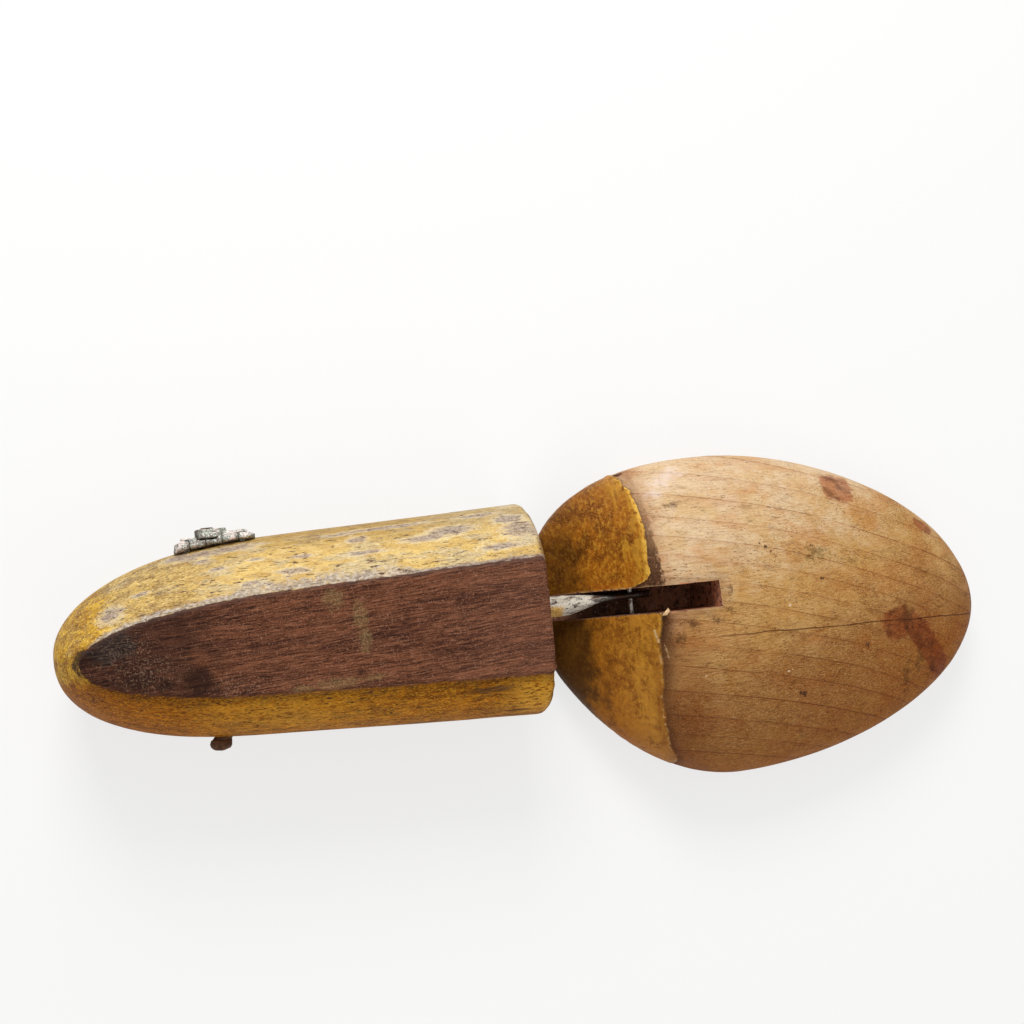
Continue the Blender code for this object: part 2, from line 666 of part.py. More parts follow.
def main():
    clear_scene()
    assembly = bpy.data.objects.new("shoe_tree", None)
    bpy.context.scene.collection.objects.link(assembly)
    assembly.location = -assembly_origin()
    build_forepart(assembly)
    build_toe_pin(assembly)
    build_link(assembly)
    build_heel_block(assembly)
    build_bolt(assembly)
    build_strip(assembly)
    build_nut(assembly)
    build_tacks(assembly)
    origin = assembly.location
    print("toe hinge", tuple(round(v, 5) for v in origin + Vector((0, 0, TOE_PIN_HEIGHT))))
    print("heel hinge", tuple(round(v, 5) for v in origin + Vector((BOLT_STATION, 0, BOLT_HEIGHT))))


main()
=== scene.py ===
"""A hinged wooden shoe tree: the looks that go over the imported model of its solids.

Each wooden block is one fine skin over the same formulas as its solid, with softened edges and a low relief.
Lengths are metres in the mesh code and millimetres in the finishes.
The layout counts from the toe pin: x = 0 is its axis and y = 0 is the middle plane of the rod.
"""

import itertools
import json
import math

import bmesh
import bpy
import numpy as np
from bpy.props import FloatProperty, FloatVectorProperty, PointerProperty
from bpy.types import Operator, Panel, PropertyGroup
from mathutils import Matrix, Vector


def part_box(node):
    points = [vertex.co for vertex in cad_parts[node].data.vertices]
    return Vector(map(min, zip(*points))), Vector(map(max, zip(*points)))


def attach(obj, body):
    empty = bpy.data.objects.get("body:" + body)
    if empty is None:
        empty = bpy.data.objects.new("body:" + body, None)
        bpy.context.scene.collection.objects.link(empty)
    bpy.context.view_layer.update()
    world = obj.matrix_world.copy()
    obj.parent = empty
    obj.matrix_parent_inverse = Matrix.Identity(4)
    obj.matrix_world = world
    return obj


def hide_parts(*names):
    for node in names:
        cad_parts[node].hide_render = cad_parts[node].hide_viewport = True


bl_info = {
    "name": "Hinged shoe tree",
    "version": (1, 0, 0),
    "blender": (4, 5, 0),
    "location": "3D View > Sidebar > Shoe tree",
    "description": "Shapes and finishes the painted heel block, the link rod and the slotted forepart",
    "category": "Object",
}

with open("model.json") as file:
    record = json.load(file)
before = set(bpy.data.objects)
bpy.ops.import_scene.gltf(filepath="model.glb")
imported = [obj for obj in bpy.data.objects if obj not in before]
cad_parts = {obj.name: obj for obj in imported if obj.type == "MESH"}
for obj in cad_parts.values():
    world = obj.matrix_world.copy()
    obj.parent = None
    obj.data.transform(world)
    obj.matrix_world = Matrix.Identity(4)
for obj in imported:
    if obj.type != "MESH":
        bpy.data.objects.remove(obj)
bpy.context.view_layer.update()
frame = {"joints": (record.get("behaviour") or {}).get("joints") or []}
HINGES = {joint["name"]: joint["pos_m"] for joint in frame["joints"]}
ORIGIN = np.array([HINGES["toe_hinge"][0], HINGES["toe_hinge"][1], 0.0])
MM = 0.001

# Forepart, as its solid
TOE_REACH = 0.1086
REAR_REACH = 0.0254
WIDE_STATION = 0.0281
OUTER_WIDTH = 0.04
INNER_WIDTH = 0.0542
TOE_LEAN = 0.0105
GIRTH_HEIGHT = 0.011
RIDGE_STATION = 0.0045
RIDGE_HEIGHT = 0.041
RIDGE_SKEW = math.tan(math.radians(3.0))
SLOPE_HOLLOW = 0.003
REAR_LIP_HEIGHT = 0.009
SOLE_TUCK = 0.007
TUCK_SHARE = 0.18
TOE_SPRING_LENGTH = 0.016
REAR_LIFT_LENGTH = 0.0065
REAR_LIFT_HEIGHT = 0.003
TOE_SLOT_HALF = 0.0037
TOE_SLOT_REACH = 0.0203
TOE_SLOT_FLOOR = 0.0095
TOE_SLOT_SHIFT = -0.0006
OUTER_FRONT_CURVE = (1.7, 1.9)
OUTER_REAR_CURVE = (2.5, 2.5)
INNER_FRONT_CURVE = (1.8, 1.92)
INNER_REAR_CURVE = (1.95, 1.52)
INSTEP_CURVE = (1.5, 1.8)
CROWN_CURVE = (1.8, 2.4)
SLOPE_CURVE = (2.6, 2.8)
REAR_CURVE_OVERRUN = 0.0025

# Toe pin and link, as their solids
TOE_PIN_RADIUS = 0.001
TOE_PIN_HEIGHT = HINGES["toe_hinge"][2]
LINK_LENGTH = 0.1189
ROD_RADIUS = 0.003
BLADE_THICKNESS = 0.002
BLADE_HEIGHT = 0.0116
BLADE_SHIFT = 0.001
BLADE_LENGTH = 0.0075
BLADE_TAPER = 0.014
EYE_THICKNESS = 0.005
EYE_HEIGHT = 0.0116
EYE_LENGTH = 0.007
EYE_TAPER = 0.012
RUNNING_GAP = 0.0003

# Heel block, as its solid
HEEL_FRONT = -0.0304
HEEL_LENGTH = 0.1312
HEEL_WIDTH = 0.0598
HEEL_SEAT_WIDTH = 0.055
HEEL_GIRTH_HEIGHT = 0.023
HEEL_HEIGHT = 0.05
HEEL_TOP_WIDTH = 0.0318
HEEL_TOP_LENGTH = 0.1221
HEEL_SEAT_INSET = 0.005
HEEL_NOSE_LENGTH = 0.056
HEEL_SIDE_TAPER = 0.17
HEEL_TOP_TAPER = 0.27
HEEL_CORNER_RADIUS = 0.0026
HEEL_EDGE_RADIUS = 0.0022
HEEL_GIRTH_SHIFT = 0.0006
HEEL_TOP_SHIFT = -0.0013
HEEL_OUTER_NOSE_CURVE = (2.2, 2.1)
HEEL_INNER_NOSE_CURVE = (2.7, 2.5)
HEEL_SLOT_HALF = 0.004
ROD_TO_ROOF = 0.001

# Bolt, nut, strip and tacks, as their solids
BOLT_STATION = HINGES["heel_hinge"][0] - HINGES["toe_hinge"][0]
BOLT_HEIGHT = HINGES["heel_hinge"][2]
BOLT_RADIUS = 0.002
BOLT_HEAD_RADIUS = 0.0031
BOLT_HEAD_HEIGHT = 0.003
NUT_ACROSS_FLATS = 0.007
STRIP_LENGTH = 0.022
STRIP_HEIGHT = 0.0084
STRIP_THICKNESS = 0.0012
STRIP_FRONT_SHARE = 0.58
STRIP_LOBES = 5
SEAT_GAP = 0.0003
TACK_RADIUS = 0.0007
TACK_HEAD_HEIGHT = 0.0012
TACK_NAMES = ("tack_front", "tack_rear")
TOE_PIN_PLACE = (0, 0, TOE_PIN_HEIGHT)
BOLT_PLACE = (BOLT_STATION, 0, BOLT_HEIGHT)

# Working of the meshes
FOREPART_COLUMNS = 230
LINK_STATIONS = 210
LINK_COLUMNS = 57
STRIP_STATIONS = 150
STRIP_COLUMNS = 65
WELD_DISTANCE = 4e-6
SOFTENING_STEP = 0.0001
CUTTER_OVERRUN = 0.008
FACE_MARGIN = 0.00012

# Camera: the point, the axes and the lens of the photograph
CAMERA_PLACE = (-0.08238, 0.01639, 0.44287)
CAMERA_AXES = ((0.98004, 0.09092, -0.17682), (-0.10017, 0.99399, -0.04413), (0.17174, 0.06096, 0.98325))
CAMERA_LENS = 52.73
CAMERA_SENSOR = 36


def tint(red, green, blue):
    """A colour given as it looks on a screen, from 0 to 255, as the light that it throws back."""
    shares = [value / 255 for value in (red, green, blue)]
    return tuple(s / 12.92 if s <= 0.04045 else ((s + 0.055) / 1.055) ** 2.4 for s in shares)


# Shapes as whole arrays


def falling(share, curve):
    """One at share 0, falling to nought at share 1 along a superellipse."""
    inner, outer = curve
    return np.maximum(0.0, 1.0 - np.clip(share, 0.0, 1.0) ** inner) ** (1.0 / outer)


def eased(value, low, high):
    """Nought below low and one above high, with a smooth rise between them."""
    share = np.clip((value - low) / (high - low), 0.0, 1.0)
    return share * share * (3 - 2 * share)


def hump(value, middle, width):
    """A bell of height one round a middle, which has died away two widths from it."""
    return np.exp(-(((value - middle) / width) ** 2))


def lattice(points, seed):
    """Smooth random numbers from -1 to 1: each whole-number corner has its own, blended by a quintic."""
    base = np.floor(points).astype(np.int64)
    part = points - base
    ease = part**3 * (part * (part * 6 - 15) + 10)
    total = np.zeros(len(points))
    for corner in itertools.product((0, 1), repeat=3):
        cell = base + corner
        mixed = cell[:, 0] * 73856093 ^ cell[:, 1] * 19349663 ^ cell[:, 2] * 83492791 ^ seed * 40503
        mixed = (mixed ^ (mixed >> 13)) * 1274126177 & 0xFFFFFF
        weight = np.where(corner, ease, 1 - ease).prod(axis=1)
        total += weight * (((mixed ^ (mixed >> 9)) & 0xFFFF) / 32767.5 - 1)
    return total


def cloud(points, size, seed, octaves=3):
    """Layers of lattice noise, each half as large and half as strong as the one before."""
    total = np.zeros(len(points))
    for k in range(octaves):
        total += lattice(points * (2**k) / np.asarray(size) + 31.7 * k, seed + k) / 2**k
    return total


def blobs(points, spots):
    """How deep each point lies in the nearest spot: one at its middle, nought at its rim, less outside.

    A spot is its middle x, y, z, its reach along x and its reach across, all in millimetres."""
    depth = np.full(len(points), -9.0)
    for x, y, z, along, across in spots:
        away = (points - (x, y, z)) / (along, across, across)
        depth = np.maximum(depth, 1.0 - np.sqrt((away**2).sum(axis=1)))
    return depth


def patches(points, shapes):
    """How deep each point lies in the nearest upright patch: one at its middle, nought at its rim.

    A patch has blunt corners: it is its middle x and y, half length, half width and turn in degrees."""
    depth = np.full(len(points), -9.0)
    for x, y, along, across, turn in shapes:
        c, s = math.cos(math.radians(turn)), math.sin(math.radians(turn))
        u = ((points[:, 0] - x) * c + (points[:, 1] - y) * s) / along
        v = ((points[:, 1] - y) * c - (points[:, 0] - x) * s) / across
        depth = np.maximum(depth, 1.0 - (u**4 + v**4) ** 0.25)
    return depth


def grid_faces(rows, columns, start):
    """The corner numbers of the quads of a grid of points."""
    number = np.arange(rows * columns).reshape(rows, columns) + start
    corners = (number[:-1, :-1], number[:-1, 1:], number[1:, 1:], number[1:, :-1])
    return np.stack(corners, axis=-1).reshape(-1, 4)


def mesh_of(name, grids, caps=()):
    """A closed mesh from grids of points and flat caps, welded where they meet and turned to face out."""
    points, faces, start = [], [], 0
    for grid in grids:
        rows, columns = grid.shape[:2]
        points.append(grid.reshape(-1, 3))
        faces += grid_faces(rows, columns, start).tolist()
        start += rows * columns
    for cap in caps:
        points.append(cap)
        faces.append(list(range(start, start + len(cap))))
        start += len(cap)
    mesh = bpy.data.meshes.new(name)
    mesh.from_pydata(np.concatenate(points).tolist(), [], faces)
    tidy = bmesh.new()
    tidy.from_mesh(mesh)
    bmesh.ops.remove_doubles(tidy, verts=tidy.verts, dist=WELD_DISTANCE)
    bmesh.ops.recalc_face_normals(tidy, faces=tidy.faces)
    tidy.to_mesh(mesh)
    tidy.free()
    return mesh


def points_of(mesh):
    """The corners of a mesh as one array."""
    flat = np.empty(len(mesh.vertices) * 3, np.float32)
    mesh.vertices.foreach_get("co", flat)
    return flat.reshape(-1, 3).astype(float)


def normals_of(mesh):
    """The directions in which the corners of a mesh face."""
    flat = np.empty(len(mesh.vertices) * 3, np.float32)
    mesh.vertices.foreach_get("normal", flat)
    return flat.reshape(-1, 3).astype(float)


def set_points(mesh, points):
    """Moves the corners of a mesh to the points of an array."""
    mesh.vertices.foreach_set("co", points.astype(np.float32).ravel())
    mesh.update()


def soften(mesh, low, high, rounds, spread=2):
    """Rounds sharp edges: a corner off its neighbours' mean is drawn towards it, along its normal."""
    ends = np.empty(len(mesh.edges) * 2, np.int32)
    mesh.edges.foreach_get("vertices", ends)
    a, b = ends.reshape(-1, 2).T
    count = len(mesh.vertices)
    degree = np.bincount(a, minlength=count) + np.bincount(b, minlength=count)
    points, normals = points_of(mesh), normals_of(mesh)

    def standoff():
        sums = [np.bincount(a, points[b, k], count) + np.bincount(b, points[a, k], count) for k in range(3)]
        return ((np.stack(sums, axis=1) / degree[:, None] - points) * normals).sum(axis=1)

    lengths = np.linalg.norm(points[a] - points[b], axis=1)
    reach = (np.bincount(a, lengths, count) + np.bincount(b, lengths, count)) / degree
    weight = eased(np.abs(standoff()) / reach, low, high)
    for _ in range(spread):
        wider = weight.copy()
        np.maximum.at(wider, a, weight[b])
        np.maximum.at(wider, b, weight[a])
        weight = wider
    for _ in range(rounds):
        points += (0.5 * weight * standoff())[:, None] * normals
    set_points(mesh, points)


def raise_relief(mesh, relief):
    """Moves each corner along its normal by a relief that is worked out from its place in the layout."""
    points = points_of(mesh)
    set_points(mesh, points + normals_of(mesh) * relief(points - ORIGIN)[:, None])


def write_fields(mesh, fields):
    """Stores numbers on the corners of a mesh under their names, for its finish to read."""
    for name, values in fields.items():
        stored = mesh.attributes.new(name, "FLOAT", "POINT")
        stored.data.foreach_set("value", values.astype(np.float32))


def box_grids(low, high, step):
    """The six sides of a box as flat grids of about one step."""
    low, high = np.array(low), np.array(high)
    sides = []
    for axis in range(3):
        u, v = [k for k in range(3) if k != axis]
        along = [np.linspace(low[k], high[k], max(2, int((high[k] - low[k]) / step) + 1)) for k in (u, v)]
        for end in (low[axis], high[axis]):
            side = np.empty((len(along[0]), len(along[1]), 3))
            side[..., axis] = end
            side[..., u], side[..., v] = np.meshgrid(*along, indexing="ij")
            sides.append(side)
    return sides


def turned(profile, sides):
    """A bar turned about the y axis: rings of a radius r at each y of a profile of (y, r) pairs."""
    y, r = np.array(profile).T
    angle = np.linspace(0, 2 * np.pi, sides + 1)
    rings = np.empty((len(y), sides + 1, 3))
    rings[..., 0] = r[:, None] * np.cos(angle)
    rings[..., 1] = y[:, None]
    rings[..., 2] = r[:, None] * np.sin(angle)
    return rings


def closed_tube(name, rings):
    """A tube through closed rings of points in the layout, with a flat cap on both ends."""
    rings = rings + ORIGIN
    return mesh_of(name, [rings], [rings[0, :-1], rings[-1, :-1]])


def turned_mesh(name, profile, sides, place):
    """A turned bar with closed ends, carried to its place in the layout."""
    return closed_tube(name, turned(profile, sides) + np.asarray(place))


def bore(name, radius, place, start, end, sides=36):
    """A round cutter along y that leaves the running gap round a pin of a radius."""
    radius = radius + RUNNING_GAP
    return turned_mesh(name, [(start, radius), (end, radius)], sides, place)


def span_of(node):
    """The start and the end of a solid along y and the station of its middle, in the layout."""
    low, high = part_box(node)
    return low.y - ORIGIN[1], high.y - ORIGIN[1], (low.x + high.x) / 2 - ORIGIN[0]


def add_object(name, data):
    """A new object of the scene, at the origin."""
    made = bpy.data.objects.new(name, data)
    bpy.context.scene.collection.objects.link(made)
    return made


def new_piece(name, mesh, body, nodes):
    """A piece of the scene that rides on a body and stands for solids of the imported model."""
    piece = add_object(name, mesh)
    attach(piece, body)
    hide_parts(*nodes)
    return piece


def carve(piece, cutters):
    """Takes the cutters out of a piece, one after another, and keeps the result as its mesh."""
    for mesh in cutters:
        cutter = add_object(mesh.name, mesh)
        bite = piece.modifiers.new("bite", "BOOLEAN")
        bite.operation = "DIFFERENCE"
        bite.solver = "EXACT"
        bite.object = cutter
        bpy.context.view_layer.update()
        cut = bpy.data.meshes.new_from_object(piece.evaluated_get(bpy.context.evaluated_depsgraph_get()))
        piece.modifiers.clear()
        piece.data = cut
        bpy.data.objects.remove(cutter)


def dress(piece, finishes, inside=None, sharp=35.0):
    """Smooths the faces, keeps edges past an angle crisp, and gives faces inside a cut their own finish."""
    mesh = piece.data
    mesh.shade_smooth()
    mesh.set_sharp_from_angle(angle=math.radians(sharp))
    mesh.materials.clear()
    for finish in finishes:
        mesh.materials.append(finish.material)
    if inside is not None:
        centres = np.empty(len(mesh.polygons) * 3, np.float32)
        mesh.polygons.foreach_get("center", centres)
        chosen = inside(centres.reshape(-1, 3) - ORIGIN)
        mesh.polygons.foreach_set("material_index", chosen.astype(np.int32))


# Finishes


class Value:
    """A socket of a finish: ordinary sums add Math nodes, and a colour takes further tones."""

    def __init__(self, finish, socket):
        self.finish = finish
        self.socket = socket

    def __add__(self, other):
        return self.finish.math("ADD", self, other)

    __radd__ = __add__

    def __sub__(self, other):
        return self.finish.math("SUBTRACT", self, other)

    def __rsub__(self, other):
        return self.finish.math("SUBTRACT", other, self)

    def __mul__(self, other):
        return self.finish.math("MULTIPLY", self, other)

    __rmul__ = __mul__

    def __truediv__(self, other):
        return self.finish.math("DIVIDE", self, other)

    def __pow__(self, other):
        return self.finish.math("POWER", self, other)

    def ease(self, low, high, start=0, end=1):
        """Start where this value is below low and end above high, with a smooth change between them."""
        inlets = {0: self, 1: low, 2: high, 3: start, 4: end}
        return self.finish.node("ShaderNodeMapRange", {"interpolation_type": "SMOOTHSTEP"}, inlets)

    def sway(self, reach):
        """Cloudy numbers round one half as numbers round nought, that go about as far as the reach."""
        return (self - 0.5) * reach

    def over(self, share, tone, blend="MIX"):
        """Lays a tone over this colour, by a share from nought to one."""
        self.socket = self.finish.mix(share, self, tone, blend).socket

    def times(self, share, tone):
        """Tints this colour with a tone, as a glaze does."""
        self.over(share, tone, "MULTIPLY")

    def coats(self, *coats, blend="MIX"):
        """Lays thin coats over this colour: each is a value, the ends of its ease, a strength and a tone."""
        for value, low, high, strength, tone in coats:
            self.over(value.ease(low, high) * strength, tone, blend)

    def glazes(self, *coats):
        """Lays thin coats that tint this colour."""
        self.coats(*coats, blend="MULTIPLY")


class Finish:
    """A procedural material, with its place in the object in millimetres as x, y, z and at.

    The functions of one finish keep the values that they share on it, under plain names."""

    def __init__(self, name, metallic=0.0, specular=0.5):
        self.material = bpy.data.materials.new(name)
        self.material.use_nodes = True
        self.tree = self.material.node_tree
        self.tree.nodes.clear()
        self.shader = self.tree.nodes.new("ShaderNodeBsdfPrincipled")
        self.shader.inputs["Metallic"].default_value = metallic
        self.shader.inputs["Specular IOR Level"].default_value = specular
        output = self.tree.nodes.new("ShaderNodeOutputMaterial")
        self.tree.links.new(self.shader.outputs[0], output.inputs[0])
        place = self.node("ShaderNodeTexCoord", outlet="Object")
        shifted = self.vector("SUBTRACT", place, tuple(ORIGIN))
        self.at = self.vector("MULTIPLY", shifted, (1000.0, 1000.0, 1000.0))
        apart = self.node("ShaderNodeSeparateXYZ", inlets={0: self.at}, outlet=None)
        self.x, self.y, self.z = (Value(self, apart.outputs[k]) for k in range(3))

    def node(self, kind, settings=(), inlets=(), outlet=0):
        """One node: its settings first, then the values or links of its sockets."""
        made = self.tree.nodes.new(kind)
        for name, value in dict(settings).items():
            setattr(made, name, value)
        for name, value in dict(inlets).items():
            self.feed(made.inputs[name], value)
        return made if outlet is None else Value(self, made.outputs[outlet])

    def feed(self, socket, value):
        """Sets a socket to a number or a colour, or links a value to it."""
        if isinstance(value, Value):
            self.tree.links.new(value.socket, socket)
        elif socket.type == "RGBA":
            socket.default_value = (*value[:3], 1.0)
        else:
            socket.default_value = value

    def math(self, operation, *values, clamp=False):
        settings = {"operation": operation, "use_clamp": clamp}
        return self.node("ShaderNodeMath", settings, dict(enumerate(values)))

    def vector(self, operation, *values):
        return self.node("ShaderNodeVectorMath", {"operation": operation}, dict(enumerate(values)))

    def mix(self, share, low, high, blend="MIX"):
        """A colour between two colours, by a share from nought to one. Plain rows are screen colours."""
        low, high = (tint(*colour) if isinstance(colour, tuple) else colour for colour in (low, high))
        settings = {"data_type": "RGBA", "blend_type": blend}
        return self.node("ShaderNodeMix", settings, {0: share, 6: low, 7: high}, 2)

    def stretched(self, size, at=None):
        """Places divided by a size, which is one number or three along x, y and z."""
        size = size if isinstance(size, tuple) else (size, size, size)
        return self.vector("DIVIDE", self.at if at is None else at, size)

    def noise(self, size, detail=3.0, rough=0.55, at=None):
        """Cloudy numbers round one half, whose lumps are as large as the size along x, y and z."""
        inlets = {"Vector": self.stretched(size, at), "Scale": 1.0, "Detail": detail, "Roughness": rough}
        return self.node("ShaderNodeTexNoise", {}, inlets)

    def cells(self, size):
        """The distance to the nearest of scattered points, which lie about one size apart."""
        return self.node("ShaderNodeTexVoronoi", {}, {"Vector": self.stretched(size), "Scale": 1.0})

    def field(self, name):
        """The numbers that the mesh code stored on the corners under a name."""
        return self.node("ShaderNodeAttribute", {"attribute_name": name}, outlet="Fac")

    def mark(self, name, fray, low, high):
        """The share of a mark that the mesh code stored as a depth, with an edge that a cloud frays."""
        return (self.field(name) + fray).ease(low, high)

    def spot(self, x, y, radius, wobble):
        """One inside an upright mark at a place, round but for the wobble, and nought outside it."""
        away = self.math("SQRT", (self.x - x) ** 2.0 + (self.y - y) ** 2.0) + wobble
        return away.ease(radius * 1.4, radius * 0.5)

    def line(self, start, end, width, wobble):
        """One along an upright straight mark between two places, and nought beside it."""
        across, up = end[0] - start[0], end[1] - start[1]
        x, y = self.x - start[0], self.y - start[1]
        share = self.math("MULTIPLY", x * across + y * up, 1 / (across**2 + up**2), clamp=True)
        away = self.math("SQRT", (x - share * across) ** 2.0 + (y - share * up) ** 2.0) + wobble
        return away.ease(width * 1.4, width * 0.4)

    def set(self, name, value):
        """Feeds an input of the shader."""
        self.feed(self.shader.inputs[name], value)

    def bump(self, height, depth):
        """Raises the surface by a height from nought to one, at a depth in millimetres."""
        inlets = {"Strength": 1.0, "Distance": depth * MM, "Height": height}
        self.set("Normal", self.node("ShaderNodeBump", {}, inlets, "Normal"))


def larger(first, second):
    """The larger of two values of a finish."""
    return first.finish.math("MAXIMUM", first, second)


def bare_maple(f, look):
    """Pale to ochre wood with clouds of pink and yellow, fibres, dust and pores."""
    # Patina and painted shade in one gradient: the wood turns from pale to deep towards the inner side, the
    # toe and the low sides, and its fibres, grit and growth lines darken there too.
    age = f.field("age")
    f.grimy = age.ease(0.1, 0.75)
    tone = age + f.mottle.sway(0.75) + f.streak.sway(0.4)
    wood = f.mix(tone.ease(-0.05, 0.55), look.wood_pale, look.wood_ochre)
    wood.over(tone.ease(0.45, 1.1), look.wood_deep)
    rosy = f.noise((24, 12, 12)).ease(0.5, 0.64)
    wood.times(rosy * 0.36, look.wood_rosy)
    yellow = f.noise(10, 4, 0.6).ease(0.49, 0.62)
    wood.times(yellow * 0.42, look.wood_yellow)
    orange = (f.noise((13, 8, 8)) + f.x * 0.0012).ease(0.56, 0.7)
    wood.times(orange * 0.45, (240, 204, 156))
    wood.times(f.streak.ease(0.48, 0.62) * 0.28, (208, 174, 138))
    wood.over(f.streak.ease(0.46, 0.34) * 0.14 * (1 - f.grimy), (230, 210, 176))
    clumps = f.noise((9, 4, 5), 3, 0.6).ease(0.4, 0.6, 0.45, 1)
    wood.times(f.fibre.ease(0.5, 0.64) * clumps * (0.2 + f.grimy * 0.26), (160, 118, 82))
    wood.times(f.grit.ease(0.54, 0.66) * clumps * (0.16 + f.grimy * 0.34), (138, 98, 66))
    dusting = f.noise(0.36, 2, 0.6)
    wood.times(dusting.ease(0.52, 0.64) * 0.16, (140, 98, 66))
    wood.coats(
        (dusting, 0.48, 0.36, 0.14, (236, 206, 160)),
        (f.grit, 0.44, 0.33, 0.08 + f.grimy * 0.26, (222, 182, 128)),
    )
    f.pores = f.noise((1.7, 0.2, 0.24), 1).ease(0.65, 0.71) * f.noise(8).ease(0.38, 0.56)
    wood.times(f.pores * 0.8, (132, 96, 66))
    # Painted warm shade: the low part of the inner side is tinted orange and darker.
    under = f.z.ease(35, 16) * f.y.ease(-6, -26)
    wood.times(under * 0.9, (255, 222, 120))
    return wood


def add_growth_lines(f, look, wood):
    """Growth lines that bend to the toe: the stored number is whole on each line."""
    ring = f.field("ring")
    nearest = f.math("ROUND", ring)
    off_line = f.math("ABSOLUTE", ring - nearest) * look.ring_spacing
    own = f.node("ShaderNodeTexWhiteNoise", {"noise_dimensions": "1D"}, {"W": nearest})
    broken = f.noise((14, 5, 9)).ease(0.3, 0.52)
    f.rings = (off_line + f.grit.sway(0.7)).ease(0.24, 0.02) * broken * (0.18 + own * 0.4 + f.grimy * 0.18)
    soft_side = f.math("FRACT", ring).ease(0.62, 1)
    wood.times(soft_side * 0.2, (216, 172, 132))
    wood.times(f.rings, (150, 92, 58))


def add_dirt(f, wood):
    """Grey smudges, dark crumbs, slanting scratches, chalk and the wine-coloured stains."""
    grime = f.noise((6, 2, 3), 5, 0.7).ease(0.55, 0.7)
    wood.times(grime * 0.4, (150, 132, 112))
    f.specks = f.cells((0.95, 0.5, 0.6)).ease(0.17, 0.06) * f.noise(7).ease(0.47, 0.6)
    wood.times(f.specks * 0.75, (110, 80, 58))
    turned_at = f.node("ShaderNodeVectorRotate", {"rotation_type": "Z_AXIS"}, {"Vector": f.at, "Angle": 0.62})
    sparse = f.noise(13, 2).ease(0.48, 0.6)
    f.scratch = f.noise((5, 0.12, 3), 1, at=turned_at).ease(0.66, 0.71) * sparse
    wood.times(f.scratch * 0.5, (164, 126, 92))
    pale = f.mark("chalk", f.noise(2.6, 4, 0.65).sway(3), -0.3, 0.9)
    wood.over(pale * 0.6, (232, 212, 200))
    dirty = f.mark("dirt", f.noise(1.3, 4, 0.66).sway(3.2), 0, 0.9)
    wood.times(dirty * 0.7, (122, 104, 98))
    smudge = f.mark("smudge", f.noise(1.5, 4).sway(4), 0, 1)
    wood.times(smudge * 0.64, (156, 160, 132))
    soaked = f.mark("stain", f.noise(2.2, 5, 0.68).sway(0.7), -0.14, 0.16)
    heart = (f.noise(4.5, 4, 0.6) + f.field("twice") * 0.2).ease(0.45, 0.66)
    stained = f.mix(heart, (218, 178, 166), (156, 120, 106))
    wood.times(soaked * 0.92, stained)


def add_crack(f, wood):
    """The drying crack: a thin dark line along the inner side of the crown."""
    crack_y = -12.1 - f.x * 0.027 + f.noise((22, 90, 90)).sway(2)
    off_crack = f.math("ABSOLUTE", f.y - crack_y)
    f.crack = off_crack.ease(0.22, 0.06) * f.x.ease(6, 30) * f.z.ease(12, 15)
    f.crack = f.crack * f.noise((6, 9, 9), 2).ease(0.28, 0.46)
    wood.times(f.crack * 0.75, (122, 76, 50))


def add_dots(f, wood):
    """Small dark and pale marks: each is its x, its y and its radius in millimetres."""
    dark_dots = [
        (43.9, -31.8, 0.85), (42.8, -31.3, 0.5), (52.2, 0.6, 0.42), (65.4, -20.1, 0.45), (64.6, -19.6, 0.3),
        (35.9, 11, 0.42), (34.3, 12.1, 0.36), (37.6, 9.6, 0.3), (50.5, 10.4, 0.32), (12, -39, 0.3),
    ]
    pale_dots = [
        (40.9, -6, 0.34), (42, -5.4, 0.24), (39.1, -24.6, 0.28), (40.2, -24.2, 0.22), (14, -23, 0.26),
    ]
    upper_side = f.z.ease(12, 16)
    wobble = f.noise(0.8, 3, 0.7).sway(3)
    for spots, colour in ((dark_dots, (58, 32, 22)), (pale_dots, (226, 200, 166))):
        marks = f.spot(*spots[0], wobble)
        for x, y, radius in spots[1:]:
            marks = larger(marks, f.spot(x, y, radius, wobble))
        wood.over(marks * upper_side * 0.85, colour)


def add_band(f, look, wood):
    """The worn brown band between paint and ridge: crisp on the outer side, fading on the inner side."""
    f.rub = f.noise((1, 2.2, 2), 5, 0.7)
    f.inner = f.y.ease(0, -6)
    wide = (f.ridge + f.mottle.sway(8)).ease(16, 0) * f.inner
    narrow = (f.ridge + f.rub.sway(4)).ease(5, 0) * (1 - f.inner) * 0.7
    wood.times((wide + narrow) * 0.55, (190, 150, 122))
    near_slot = f.math("ABSOLUTE", f.y).ease(34, 5)
    soft = 0.5 + f.inner * 2.6
    f.band = ((f.ridge + f.rub.sway(4.4)) / soft).ease(0.75, -0.75)
    umber = f.mix((f.rub.sway(2.2) + near_slot).ease(0.3, 0.95), look.band_light, look.band_dark)
    umber.coats(
        (f.fibre, 0.48, 0.62, 0.4, (70, 42, 26)),
        (f.noise(0.7, 4, 0.66) + near_slot * 0.05, 0.56, 0.62, 0.85, (40, 23, 17)),
        (f.noise(0.9, 3, 0.66), 0.4, 0.34, 0.6, (176, 130, 98)),
    )
    wood.over(f.band * (0.26 + near_slot * 0.68 - f.inner * 0.06), umber)
    wood.times(f.paint.ease(-2.4, -0.2) * f.inner * 0.45, (112, 74, 54))
    wood.over((f.rim + f.rub.sway(1.6)).ease(0.5, 0.12) * 0.5, (206, 168, 124))
    wood.times((f.rim + f.mottle.sway(9)).ease(3.4, 0.4) * 0.34, (150, 122, 100))


